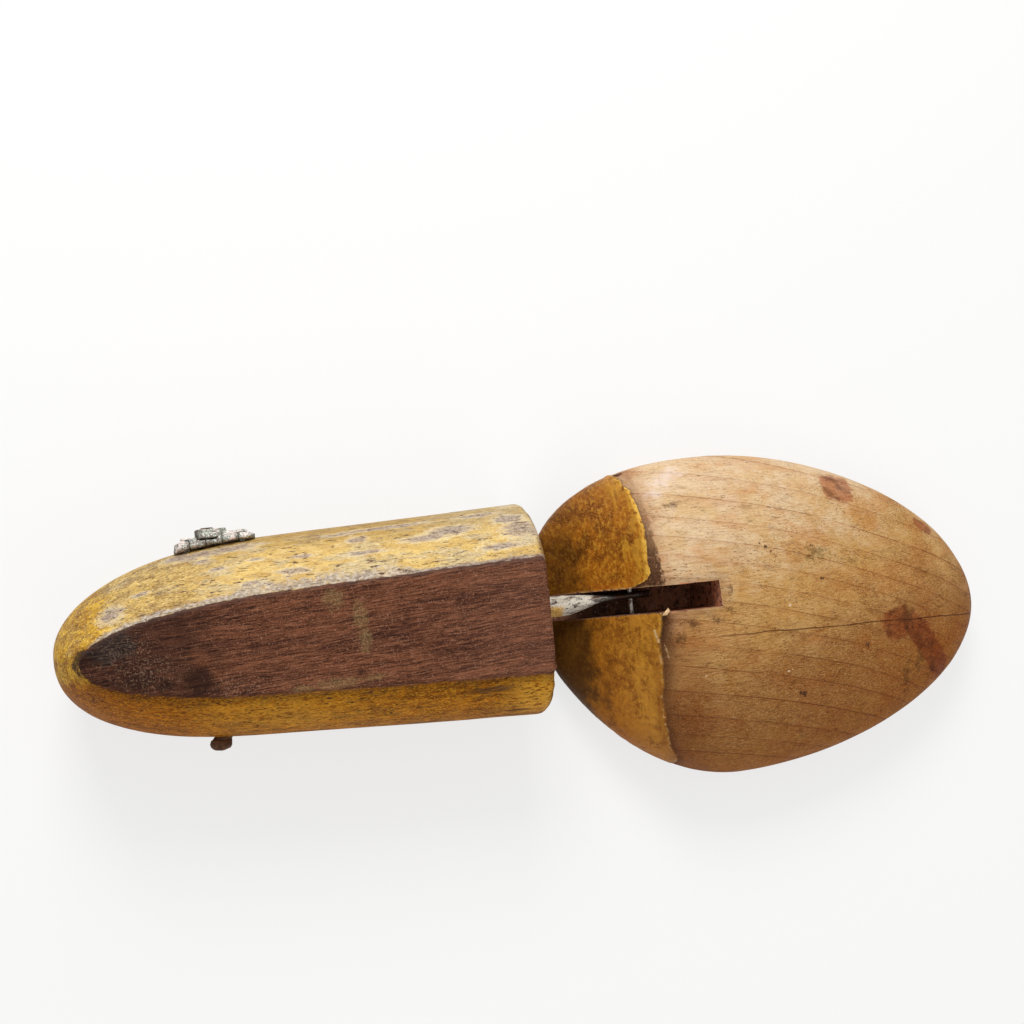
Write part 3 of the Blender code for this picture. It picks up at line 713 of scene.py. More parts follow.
def slope_paint(f, look):
    """Old brushed paint: umber to bright ochre, with lumps, sand, drips, a pale bead and pits, and painted
    light and shade.
    """
    f.body = f.noise((4.2, 6, 6), 5, 0.62)
    f.lumps = f.noise((0.9, 1.5, 1.5), 4, 0.62)
    f.sand = f.noise(0.46, 3, 0.66)
    ochre = f.mix(f.body.ease(0.38, 0.6), look.paint_umber, look.paint_ochre)
    ochre.coats(
        (f.lumps, 0.51, 0.63, 0.62, look.paint_bright), (f.lumps, 0.47, 0.35, 0.5, (98, 52, 14)),
        (f.sand, 0.53, 0.66, 0.44, (216, 152, 58)), (f.sand, 0.46, 0.34, 0.44, (78, 44, 12)),
    )
    lower = f.mix(f.body.ease(0.36, 0.62), (142, 84, 26), (178, 117, 38))
    lower.coats(
        (f.lumps, 0.5, 0.62, 0.5, (204, 144, 48)), (f.lumps, 0.48, 0.36, 0.5, (112, 64, 20)),
        (f.sand, 0.53, 0.66, 0.4, (214, 156, 60)), (f.sand, 0.46, 0.34, 0.46, (84, 48, 16)),
    )
    ochre.over(f.inner * 0.85, lower)
    near_edge = (f.paint + f.body.sway(10)).ease(9, 2)
    drip = f.noise((1.1, 9, 9), 3, 0.6).ease(0.5, 0.62) * near_edge
    ochre.over(drip * 0.55, (216, 158, 48))
    # Painted shadow of the heel block: the slope darkens towards its rear lip, less so at the far outer side.
    painted_heel_shadow = (f.ridge + f.body.sway(14)).ease(-11.5 - (1 - f.inner) * 3, -20.5)
    painted_heel_shadow = painted_heel_shadow * f.y.ease(24, 17, 0.5, 1)
    ochre.over(painted_heel_shadow * (0.64 + f.inner * 0.2), f.mix(f.inner, (56, 34, 10), (64, 38, 12)))
    warm = (f.rim + f.body.sway(4)).ease(3.6, 0.6) * (1 - f.inner) * f.z.ease(18, 24)
    ochre.over(warm * 0.45, (190, 104, 24))
    # Painted light: a lighter golden swath on the inner half of the slope, 7 to 15 mm behind the ridge, where
    # it rounds over.
    painted_light_swath = (f.ridge + f.body.sway(14)).ease(-15, -7) * f.inner * f.body.ease(0.38, 0.56)
    ochre.over(painted_light_swath * 0.5, (200, 138, 50))
    # Painted warm shade: orange low on the inner side of the slope, outside the painted shadow of the heel
    # block.
    ochre.over(f.z.ease(28, 14) * f.inner * (1 - painted_heel_shadow) * 0.75, (170, 98, 10))
    ochre.over((f.y + f.body.sway(12)).ease(23, 33) * 0.3, (112, 66, 22))
    # Painted highlight: the slope is lighter for about 5 mm behind the paint's edge, less so on the inner
    # side.
    glow = (1 - f.inner * 0.55) * (f.paint + f.body.sway(6)).ease(5.2, 0.4)
    glow = glow * f.noise((2.5, 4, 4), 4, 0.6).ease(0.38, 0.58)
    ochre.over(glow * 0.85, look.paint_bright)
    edge = (f.paint + f.body.sway(4)).ease(3.4, 0.8) * f.inner * f.z.ease(36, 33)
    ochre.over(edge * 0.55, (138, 78, 22))
    # A pale bead of thick paint on the outer half of the paint's edge, which also carries a painted
    # highlight.
    bead = f.paint.ease(1.3, 0.35) * f.y.ease(2, 5) * f.lumps.ease(0.42, 0.54)
    ochre.over(bead * 0.65, (236, 190, 82))
    flakes = f.paint.ease(0.8, 0.2) * f.inner * f.noise((0.8, 1.6, 1.6)).ease(0.54, 0.6)
    ochre.over(flakes * 0.85, (206, 164, 104))
    rubbed = (f.rim + f.lumps.sway(0.8)).ease(0.6, 0.15) * (1 - f.inner) * f.z.ease(12, 18)
    ochre.over(rubbed * 0.45, (214, 178, 122))
    f.pits = f.cells((0.5, 0.42, 0.42)).ease(0.17, 0.08) * f.noise(4, 2).ease(0.44, 0.6)
    ochre.over(f.pits * 0.5, (66, 38, 16))
    return ochre


def forepart_wood(look):
    """Maple with a patina and painted shade: growth lines, pores, stains, a crack, dots and the slope under
    its old paint.
    """
    f = Finish("patinated_maple", specular=0.12)
    f.paint, f.ridge, f.rim = (f.field(name) for name in ("paint", "ridge", "rim"))
    f.mottle = f.noise(6.5, 5, 0.64)
    f.streak = f.noise((9, 0.45, 0.55), 4, 0.64)
    f.fibre = f.noise((3.2, 0.28, 0.34), 3, 0.62)
    f.grit = f.noise((1.3, 0.36, 0.42), 3, 0.66)
    wood = bare_maple(f, look)
    add_growth_lines(f, look, wood)
    add_dirt(f, wood)
    add_crack(f, wood)
    add_dots(f, wood)
    add_band(f, look, wood)
    ochre = slope_paint(f, look)
    # Two pale scratches along the paint's edge beside the slot
    shaky = f.noise(0.9, 3, 0.7).sway(1.3)
    near = f.line((1.2, -9), (2, -12.6), 0.22, shaky)
    far = f.line((3.3, -13.6), (4, -17.4), 0.16, shaky)
    scraped = larger(near, far) * f.z.ease(20, 24)
    ochre.over(scraped * 0.65, (228, 196, 144))
    wood.over(scraped * 0.5, (216, 176, 124))
    uneven = f.lumps.sway(0.8) + f.noise((2, 4.5, 4.5)).sway(1.6)
    ragged = f.paint + uneven * (1 - f.inner * 0.25)
    painted = ragged.ease(-0.06 - f.inner * 0.44, 0.1 + f.inner * 0.4)
    shadow = ragged.ease(-0.75, -0.05) * (1 - painted) * (1 - f.inner * 0.5)
    wood.times(shadow * 0.45, (104, 66, 42))
    f.set("Base Color", f.mix(painted, wood, ochre))
    gloss = f.lumps.ease(0.3, 0.7, 0.48, 0.32)
    matt = f.mottle.ease(0.3, 0.7, 0.5, 0.64) + f.pores * 0.2
    f.set("Roughness", painted * gloss + (1 - painted) * matt)
    grain = 0.5 + f.streak.sway(0.3) + f.fibre.sway(0.22) - f.pores * 0.25 - f.rings * 0.12 - f.crack * 0.8
    grain = grain - f.scratch * 0.12 - f.specks * 0.2 + f.band * (f.rub - 0.5) * 0.8
    coat = 0.62 + f.lumps.sway(1) + f.sand.sway(0.4) + f.body.sway(0.25) - f.pits * 0.3
    f.bump(grain * (1 - painted) + coat * painted, 0.34)
    return f


def cut_wood(look):
    """Bare wood inside a slot: dark, dirty and rough from the saw, with a few red crumbs, and painted shade
    under the link.
    """
    f = Finish("sawn_slot_wood")
    saw = f.noise((0.5, 2, 6), 4, 0.6)
    dirt = f.noise(2.6, 4, 0.65)
    wood = f.mix(dirt.ease(0.38, 0.58), (98, 58, 42), look.slot_brown)
    # The coat along x is painted shade: darker towards the rear of the forepart's slot, where the link lies,
    # and all through the heel's slot.
    wood.coats(
        (saw, 0.45, 0.64, 0.5, (206, 146, 108)), (f.x, 7, 1, 0.62, (44, 25, 18)),
    )
    clumps = f.noise(3, 2) + f.x.ease(17, 20) * 0.05
    crumbs = f.cells(1).ease(0.36, 0.16) * clumps.ease(0.48, 0.58)
    wood.over(crumbs * 0.85, (224, 176, 150))
    f.set("Base Color", wood)
    f.set("Roughness", 0.85)
    f.bump(saw * 0.6 + dirt * 0.4 + crumbs * 0.4, 0.4)
    return f


def brown_top(f, look):
    """Bare brown wood: a long close grain, a little aslant, burnt, smeared and dusty in places."""
    drift = f.noise((30, 9, 9), 2) * 3 - f.x * 0.06
    along = f.vector("ADD", f.at, f.node("ShaderNodeCombineXYZ", {}, {1: drift}))
    f.grain = f.noise((14, 0.5, 0.6), 5, 0.68, at=along)
    f.fine = f.noise((4.2, 0.3, 0.36), 3, 0.64, at=along)
    wide = f.noise((26, 4.5, 4), 3, 0.6, at=along)
    f.pores = f.noise((4, 0.34, 0.4), 2, 0.6, at=along).ease(0.6, 0.66)
    speckled = f.cells((0.55, 0.42, 0.45)).ease(0.24, 0.08)
    brown = f.mix(wide.ease(0.38, 0.62), look.brown_dark, look.brown_red)
    brown.coats(
        (f.grain, 0.51, 0.62, 0.5, (144, 92, 64)), (f.grain, 0.48, 0.37, 0.72, (52, 29, 22)),
        (f.fine, 0.52, 0.64, 0.46, (156, 106, 80)), (f.fine, 0.47, 0.37, 0.62, (46, 26, 21)),
        (f.sand, 0.56, 0.66, 0.5, (166, 122, 98)), (f.sand, 0.44, 0.35, 0.44, (42, 24, 20)),
    )
    brown.over(f.pores * 0.75, (30, 17, 14))
    brown.over(speckled * f.noise(5).ease(0.46, 0.6) * 0.4, (166, 130, 108))
    shade = f.field("shade") + f.noise(5, 4, 0.62).sway(1.4)
    brown.over(shade.ease(0.1, 0.9) * 0.56, (34, 20, 18))
    burnt = f.mark("dark", f.noise(2.6, 4, 0.66).sway(1.6), -0.1, 0.55)
    brown.over(burnt * 0.64, (32, 18, 14))
    worn_end = (f.x + wide.sway(40)).ease(-64, -44)
    brown.over(worn_end * 0.1, (158, 110, 88))
    blue = f.mark("blue", f.noise((3, 1.8, 2), 4, 0.65).sway(2.2), -0.05, 0.5)
    brown.over(blue * 0.76, f.mix(f.fine.ease(0.42, 0.6), (26, 22, 21), (66, 58, 54)))
    smear = f.mark("smear", f.noise(2, 4, 0.6).sway(1.6), 0, 0.5)
    brown.over(smear * 0.42, f.mix(f.sand.ease(0.42, 0.6), (112, 88, 56), (154, 130, 88)))
    dust = f.mark("dust", f.noise(1.6, 4, 0.7).sway(3), 0, 0.8)
    dust = dust * larger(f.sand.ease(0.52, 0.62), speckled)
    brown.over(dust * 0.3, (166, 136, 112))
    tick_at = f.node("ShaderNodeVectorRotate", {"rotation_type": "Z_AXIS"}, {"Vector": f.at, "Angle": 1.2})
    ticks = f.noise((1.6, 0.14, 2), 1, at=tick_at).ease(0.735, 0.76)
    brown.over(ticks * 0.75, (190, 152, 128))
    edge_dark = (f.flat + f.fine.sway(2.4)).ease(1.4, 0.1)
    brown.over(edge_dark * 0.5, f.mix(f.y.ease(-4, 4), (44, 24, 18), (104, 82, 76)))
    return brown


def golden_paint(f, look):
    """The paint of the inner side: golden, with dark and bright dabs."""
    gold = f.mix(f.cloudy.ease(0.4, 0.58), look.gold_dark, look.gold)
    gold.coats(
        (f.soft, 0.5, 0.62, 0.4, look.gold_bright), (f.soft, 0.48, 0.36, 0.36, (122, 68, 8)),
        (f.dabs, 0.52, 0.63, 0.52, (238, 166, 34)), (f.dabs, 0.46, 0.37, 0.55, (88, 46, 6)),
        (f.strokes, 0.46, 0.36, 0.3, (104, 60, 6)), (f.rough, 0.53, 0.64, 0.5, (244, 184, 56)),
        (f.rough, 0.46, 0.36, 0.52, (84, 46, 6)), (f.sand, 0.46, 0.35, 0.36, (76, 42, 6)),
    )
    gold.times(f.x.ease(-116, -136), (244, 230, 120))
    gold.over(f.field("corner") * f.dabs.ease(0.4, 0.52), (222, 160, 50))
    inside_edge = (f.flat + f.dabs.sway(8)).ease(-4, -0.4)
    gold.over(inside_edge * 0.55, f.mix(f.rough.ease(0.42, 0.58), (64, 38, 10), (136, 88, 22)))
    return gold


def pale_paint(f, look):
    """The paint of the outer side: pale, milky in clouds, tired towards the nose and veiled below."""
    light = f.mix(f.cloudy.ease(0.4, 0.58), look.pale_ochre, look.pale_yellow)
    light.coats(
        (f.soft, 0.5, 0.6, 0.4, (240, 214, 150)), (f.soft, 0.48, 0.38, 0.36, (198, 160, 92)),
        (f.dabs, 0.47, 0.36, 0.3, (176, 142, 92)), (f.strokes, 0.46, 0.35, 0.14, (180, 148, 98)),
        (f.rough, 0.55, 0.66, 0.36, (250, 234, 190)), (f.rough, 0.45, 0.35, 0.26, (160, 128, 82)),
        (f.sand, 0.45, 0.33, 0.36, (150, 118, 76)),
    )
    milky = f.noise((12, 5, 5), 4, 0.6).ease(0.5, 0.6)
    light.over(milky * 0.55, f.mix(f.rough.ease(0.42, 0.58), (190, 172, 134), (218, 204, 170)))
    f.tired = f.mark("tired", f.cloudy.sway(1.6), 0.1, 0.9)
    scuffed = f.mix(f.cloudy.ease(0.42, 0.57), (142, 108, 60), (208, 170, 92))
    scuffed.coats(
        (f.strokes, 0.47, 0.36, 0.75, (100, 72, 40)), (f.soft, 0.5, 0.6, 0.55, (236, 200, 116)),
        (f.rough, 0.54, 0.64, 0.55, (248, 226, 160)), (f.rough, 0.45, 0.35, 0.55, (86, 60, 34)),
    )
    light.over(f.tired * 0.8, scuffed)
    veil = (f.y + f.cloudy.sway(16)).ease(21, 28) * f.dabs.ease(0.36, 0.56, 0.5, 1)
    light.over(veil * 0.68, f.mix(f.x.ease(-70, -46), (146, 108, 44), (166, 146, 112)))
    return light


def nose_paint(f):
    """The bright crust of paint round the nose."""
    crust = f.mix(f.cloudy.ease(0.42, 0.58), (166, 112, 16), (208, 156, 34))
    crust.coats(
        (f.soft, 0.5, 0.6, 0.6, (240, 190, 46)), (f.soft, 0.48, 0.38, 0.6, (146, 90, 14)),
        (f.dabs, 0.46, 0.37, 0.6, (96, 58, 12)), (f.strokes, 0.46, 0.36, 0.35, (118, 76, 14)),
        (f.rough, 0.54, 0.63, 0.5, (252, 216, 84)), (f.rough, 0.45, 0.36, 0.5, (84, 50, 10)),
    )
    f.crumbs = f.cells((0.9, 0.7, 0.7)).ease(0.3, 0.14) * f.clumps
    crust.over(f.crumbs * 0.8, (255, 232, 130))
    return crust


def add_holes(f, coat):
    """Small holes and scratches through the paint, most of them beside the flat top and under the strip."""
    f.outside = f.y.ease(1, 6)
    worn_zone = f.noise((12, 5, 5), 4, 0.6).ease(0.42, 0.62)
    worn_zone = worn_zone + f.flat.ease(-5, -1) * 0.6 + f.tired * 0.8
    f.nicks = (f.noise((2, 0.36, 0.4), 3, 0.66) + worn_zone * 0.046).ease(0.645, 0.69)
    coat.over(f.nicks * (0.5 + f.outside * 0.2), f.mix(f.outside, (74, 42, 12), (116, 90, 66)))
    f.specks = f.cells((0.8, 0.5, 0.5)).ease(0.2, 0.08) * f.clumps
    coat.over(f.specks * 0.75, (62, 38, 22))
    film = (f.strokes + worn_zone * 0.045).ease(0.585, 0.645) * f.outside
    coat.over(film * 0.45, (160, 142, 122))


def add_rubbed_wood(f, coat):
    """Where the paint is rubbed off: grey or brown wood with a pale torn rim."""
    torn = f.field("bare") + f.dabs.sway(2.2) + f.strokes.sway(1) + f.rough.sway(1.8)
    f.open_wood = torn.ease(-0.05, 0.35)
    halo = torn.ease(-0.58, -0.05) * (1 - f.open_wood) * f.outside
    coat.over(halo * 0.5, (228, 214, 184))
    grey = f.mix(f.rough.ease(0.42, 0.58), (132, 114, 104), (188, 172, 160))
    umber = f.mix(f.fine.ease(0.42, 0.58), (72, 46, 24), (128, 90, 52))
    coat.over(f.open_wood * 0.84, f.mix(f.outside, umber, grey))


def add_worn_edge(f, coat):
    """The chalky worn edge beside the flat top, its lilac film and the soot at the nose."""
    chalk = f.field("chalk")
    f.worn = (chalk + f.noise(2.2, 4, 0.66).sway(2.4) + f.rough.sway(1.8)).ease(0.1, 1.05)
    f.worn = f.worn * chalk.ease(0, 0.2)
    white = f.mix(f.noise(1, 4, 0.7).ease(0.42, 0.58), (156, 142, 132), (206, 194, 184))
    white.over(f.rough.ease(0.47, 0.36) * 0.6, (138, 116, 98))
    coat.over(f.worn * 0.8, white)
    lilac = (f.flat + f.dabs.sway(2)).ease(-1.5, -0.2) * f.field("lilac")
    coat.over(lilac * 0.75, f.mix(f.rough.ease(0.44, 0.58), (128, 106, 98), (172, 154, 142)))
    soot = (f.field("soot") + f.dabs.sway(2.2) + f.rough.sway(2.2)).ease(-0.05, 0.3)
    coat.over(soot * 0.92, f.mix(f.rough.ease(0.5, 0.62), (34, 19, 10), (80, 50, 26)))


def heel_paint(look):
    """Old paint over brown wood: golden, pale and rubbed on the outer side, and gone from the flat top."""
    f = Finish("worn_yellow_paint", specular=0.06)
    f.flat = f.field("flat")
    f.sand = f.noise(0.44, 3, 0.66)
    f.cloudy = f.noise((10, 4.5, 4.5), 5, 0.64)
    f.soft = f.noise((4.4, 2, 2), 4, 0.56)
    f.dabs = f.noise((2.8, 1, 1), 5, 0.68)
    f.rough = f.noise((0.75, 0.4, 0.4), 3, 0.62)
    f.strokes = f.noise((4.6, 0.42, 0.5), 4, 0.66)
    f.clumps = f.noise((7, 3.5, 3.5), 4, 0.6).ease(0.46, 0.6)
    brown = brown_top(f, look)
    gold, light = golden_paint(f, look), pale_paint(f, look)
    coat = f.mix(f.mark("deep", f.cloudy.sway(1.4), 0.25, 0.75), light, gold)
    mud = f.mix(f.cloudy.ease(0.4, 0.6), (92, 58, 14), (150, 98, 28))
    mud.over(f.dabs.ease(0.5, 0.66) * 0.6, (182, 128, 44))
    coat.over(f.field("front") * 0.8, mud)
    crust = nose_paint(f)
    coat.over(f.mark("nose", f.cloudy.sway(1.6), 0.2, 0.9) * 0.85, crust)
    add_holes(f, coat)
    add_rubbed_wood(f, coat)
    add_worn_edge(f, coat)
    border = f.flat + f.dabs.sway(1.6) + f.fine.sway(1.2)
    loose = f.y.ease(2, -4) * 0.4
    top = border.ease(-0.1 - loose, 0.16 + loose)
    top = larger(top, (f.field("seat") + f.dabs.sway(3) + f.strokes.sway(2)).ease(0.3, 0.6))
    f.set("Base Color", f.mix(top, coat, brown))
    paint_gloss = f.dabs.ease(0.3, 0.7, 0.56, 0.4) + f.open_wood * 0.22 + f.worn * 0.26
    f.set("Roughness", top * 0.68 + (1 - top) * paint_gloss)
    wood_height = 0.36 + f.grain.sway(0.5) + f.fine.sway(0.36) - f.pores * 0.2 + f.sand.sway(0.12)
    coat_height = 0.62 + f.soft.sway(0.3) + f.dabs.sway(0.3) + f.rough.sway(0.26)
    coat_height = coat_height + f.strokes.sway(0.2) - f.nicks * 0.35 - f.specks * 0.2 + f.crumbs * 0.15
    coat_height = coat_height - f.open_wood * (0.22 - f.fine.sway(0.4))
    f.bump(top * wood_height + (1 - top) * coat_height, 0.38)
    return f


def chalky_steel(look):
    """The link: grey steel under a white chalky bloom, brown rust near the ends and a little yellow paint."""
    f = Finish("chalky_link_steel")
    bloom = f.noise((2.6, 1.3, 1.3), 5, 0.66)
    fine = f.noise(0.45, 4, 0.65)
    rusty = f.noise((4, 2, 2), 4, 0.62)
    hidden = f.x.ease(-32, -37)
    steel = f.mix(fine.ease(0.35, 0.65), (66, 60, 56), (124, 118, 110))
    steel.over((rusty + hidden * 0.16).ease(0.5, 0.62) * 0.8, (96, 64, 44))
    blade = f.x.ease(-14.5, -9.5)
    chalk = (bloom + fine.sway(0.22) - blade * 0.26 - hidden * 0.1).ease(0.36, 0.48)
    white = f.mix(fine.ease(0.36, 0.6), (196, 188, 176), look.chalk)
    white.over(rusty.ease(0.5, 0.64) * 0.5, (150, 140, 124))
    colour = f.mix(chalk * 0.92, steel, white)
    side = (f.y + bloom.sway(2.6)).ease(0.5, -0.4) * (f.x + bloom.sway(5)).ease(-20.2, -21.8)
    yellow = f.mix(fine.ease(0.4, 0.62), (190, 138, 52), (226, 186, 98))
    painted = side * f.x.ease(-33, -31) * f.noise(1.3).ease(0.3, 0.42)
    colour.over(painted * 0.95, yellow)
    f.set("Base Color", colour)
    f.set("Metallic", (1 - chalk) * (1 - painted) * 0.7)
    f.set("Roughness", 0.46 + chalk * 0.34 + fine.sway(0.3))
    f.bump(chalk * 0.4 + fine * 0.45 + painted * 0.2, 0.22)
    return f


def bright_steel(look):
    """The toe pin: drawn wire, bright where the blade rubs it and brown at its ends."""
    f = Finish("bright_pin_steel", metallic=1)
    drawn = f.noise((0.3, 5, 0.3), 4, 0.6)
    towards_ends = f.math("ABSOLUTE", f.y).ease(5, 12)
    brown = (f.noise((1, 3, 1), 4, 0.6) + towards_ends * 0.2).ease(0.54, 0.66)
    f.set("Base Color", f.mix(brown * 0.8, f.mix(drawn, (150, 146, 142), look.bright_wire), (104, 62, 40)))
    f.set("Roughness", 0.24 + brown * 0.4 + drawn.sway(0.2))
    f.bump(drawn, 0.05)
    return f


def rusty_steel(look):
    """The bolt: dark rust in layers, with an orange bloom and worn spots of steel."""
    f = Finish("rusted_steel")
    coarse = f.noise(1.6, 5, 0.66)
    fine = f.noise(0.32, 4, 0.65)
    rust = f.mix(coarse.ease(0.36, 0.62), look.rust_dark, look.rust_red)
    rust.over(fine.ease(0.5, 0.68) * 0.6, (150, 96, 52))
    steel = (coarse + fine.sway(0.4)).ease(0.66, 0.74)
    f.set("Base Color", f.mix(steel * 0.7, rust, (132, 122, 112)))
    f.set("Metallic", steel * 0.6)
    f.set("Roughness", 0.8 - steel * 0.3)
    f.bump(coarse * 0.6 + fine * 0.4, 0.3)
    return f


def crusted_steel(look):
    """The strip, the nut and the tacks: grey metal under lumps of white crust, dark in the hollows, with
    painted shade under and behind the nut.
    """
    f = Finish("crusted_strip_metal")
    crust = f.noise(1.7, 5, 0.66)
    fine = f.noise(0.4, 4, 0.66)
    hollow = f.field("hollow")
    white = f.mix(fine.ease(0.4, 0.58), (202, 188, 180), look.crust)
    white.over(f.noise(2.4).ease(0.46, 0.62) * 0.6, (226, 200, 192))
    metal = f.mix(fine.ease(0.42, 0.6), (126, 128, 120), (226, 230, 218))
    shown = (crust + fine.sway(0.55) - hollow * 0.25 - f.field("teal") * 0.1).ease(0.42, 0.52)
    colour = f.mix(shown, metal, white)
    rust = (f.noise(1.2, 5, 0.68) + hollow * 0.2).ease(0.56, 0.66)
    colour.over(rust * 0.65, (96, 60, 44))
    # Darker in the strip's waists, and painted shade where the nut sits on the strip, on the nut's rear side
    # and round the nut.
    dark = (hollow + fine.sway(1.2)).ease(0.45, 0.85)
    f.set("Base Color", f.mix(dark * 0.85, colour, (34, 26, 22)))
    f.set("Metallic", (1 - shown) * (1 - rust) * 0.5)
    f.set("Roughness", 0.62 + shown * 0.25)
    f.bump(crust * 0.55 + fine * 0.45, 0.42)
    return f


# Forepart


def forepart_side(x, front_curve, rear_curve):
    """How far one side stands from the slot's axis, as a share of its width."""
    front = falling((x - WIDE_STATION) / (TOE_REACH - WIDE_STATION), front_curve)
    rear = falling((WIDE_STATION - x) / (WIDE_STATION + REAR_REACH + REAR_CURVE_OVERRUN), rear_curve)
    return np.where(x >= WIDE_STATION, front, rear)


def outer_side(x):
    """The y of the outer outline, which falls to the toe tip ahead of the widest station."""
    share = forepart_side(x, OUTER_FRONT_CURVE, OUTER_REAR_CURVE)
    return np.where(x < WIDE_STATION, OUTER_WIDTH * share, -TOE_LEAN + (OUTER_WIDTH + TOE_LEAN) * share)


def inner_side(x):
    """The y of the inner outline, on the other side of the slot's axis."""
    share = forepart_side(x, INNER_FRONT_CURVE, INNER_REAR_CURVE)
    return np.where(x < WIDE_STATION, -INNER_WIDTH * share, -TOE_LEAN - (INNER_WIDTH - TOE_LEAN) * share)


def instep_height(s, rounding):
    """The crown line: a hollow slope and a falling crown, blended by a soft minimum that rounds the ridge."""
    share = (s + REAR_REACH) / (RIDGE_STATION + REAR_REACH)
    hollow = SLOPE_HOLLOW * 4 * share * (1 - share)
    slope = REAR_LIP_HEIGHT + (RIDGE_HEIGHT - REAR_LIP_HEIGHT) * share - hollow
    ahead = (s - RIDGE_STATION) / (TOE_REACH - RIDGE_STATION)
    crown = GIRTH_HEIGHT + (RIDGE_HEIGHT - GIRTH_HEIGHT) * falling(ahead, INSTEP_CURVE)
    gap = np.clip(np.abs(slope - crown) / rounding, 0, 40)
    return np.minimum(slope, crown) - rounding * np.log1p(np.exp(-gap))


def sole_height(s):
    """The underside: flat, with a rounded rise at the toe and a lifted edge at the rear."""
    toe = np.maximum(0.0, s - (TOE_REACH - TOE_SPRING_LENGTH)) / TOE_SPRING_LENGTH
    rear = np.maximum(0.0, REAR_LIFT_LENGTH - (s + REAR_REACH)) / REAR_LIFT_LENGTH
    return GIRTH_HEIGHT * (1.0 - falling(toe, (2.0, 2.0))) + REAR_LIFT_HEIGHT * rear**2


def skew_at(s):
    """How far a section is turned in plan: fully at the ridge, not at all at the rear lip and the toe."""
    behind = np.clip((s + REAR_REACH) / (RIDGE_STATION + REAR_REACH), 0, 1)
    ahead = np.clip(1 - (s - RIDGE_STATION) / (TOE_REACH - RIDGE_STATION), 0, 1)
    share = np.where(s < RIDGE_STATION, behind, ahead)
    return RIDGE_SKEW * share * share * (3 - 2 * share)


def forepart_rings(s, rounding, columns):
    """Sections at the stations s: an upper chain over the crown and a lower chain under the sole.

    The crown is a superellipse over the girth line. The lower chain tucks in to the sole by an ellipse."""
    s = s[:, None]
    skew = skew_at(s)
    left = outer_side(s - skew * outer_side(s))
    right = inner_side(s - skew * inner_side(s))
    middle, half = (left + right) / 2, (left - right) / 2
    top, sole = instep_height(s, rounding), sole_height(s)
    rise = np.clip((s + REAR_REACH) / (RIDGE_STATION + REAR_REACH), 0, 1)
    girth = np.minimum(GIRTH_HEIGHT, (sole + top) / 2)
    tuck = np.minimum(SOLE_TUCK, 0.6 * half)
    across, up = (low + (high - low) * rise for low, high in zip(SLOPE_CURVE, CROWN_CURVE))
    angle = np.linspace(0, np.pi, columns)[None, :]
    c, rising = np.cos(angle), np.clip(np.sin(angle), 0, 1)
    upper_y = middle + half * np.sign(c) * np.abs(c) ** (2 / across)
    upper_z = girth + np.maximum(top - girth, 0) * rising ** (2 / up)
    v = np.linspace(0, 1, columns)[None, :]
    turn = 0.5 * np.pi * np.clip(np.minimum(v, 1 - v) / TUCK_SHARE, 0, 1)
    flat = np.clip((v - TUCK_SHARE) / (1 - 2 * TUCK_SHARE), 0, 1) * 2 - 1
    lower_y = middle + flat * (half - tuck) + np.sign(v - 0.5) * tuck * np.cos(turn)
    lower_z = girth - (girth - sole) * np.sin(turn)
    chains = []
    for y, z in ((upper_y, upper_z), (lower_y, lower_z)):
        chains.append(np.stack([s - skew * y, y, z], axis=-1))
    return chains


def slope_of(points):
    """The station of a point along the foot, with the skew of the ridge taken out."""
    return points[:, 0] + skew_at(points[:, 0]) * points[:, 1]


def paint_edge(points):
    """How far a point of the rear slope lies behind the paint's worn front edge, in metres.

    The edge runs through places that are a y and an x in millimetres, from the inner to the outer side."""
    places = [
        (-60, 10), (-46.8, 7.8), (-42.9, 5.1), (-36.6, 3.6), (-29.2, 2.4), (-22.6, 2.7), (-17.2, 2.5),
        (-13.2, 2), (-6, 3), (-4, 3.2), (3.1, -3), (3.9, -1.4), (5.1, 0.6), (7, 1.5), (10, 1.5), (16, 1.5),
        (19.4, 1.8), (25, 1.3), (30.8, 0.7), (33.2, -0.5), (45, -2),
    ]
    y, x = np.array(places).T * MM
    return np.interp(points[:, 1], y, x) - points[:, 0]


def slot_rim(points):
    """How far outside the slot's opening a point lies, in metres, and negative inside it."""
    aside = np.abs(points[:, 1] - TOE_SLOT_SHIFT) - TOE_SLOT_HALF
    ahead = points[:, 0] - TOE_SLOT_REACH
    outside = np.hypot(np.maximum(aside, 0), np.maximum(ahead, 0))
    return np.where(np.maximum(aside, ahead) > 0, outside, np.maximum(aside, ahead))


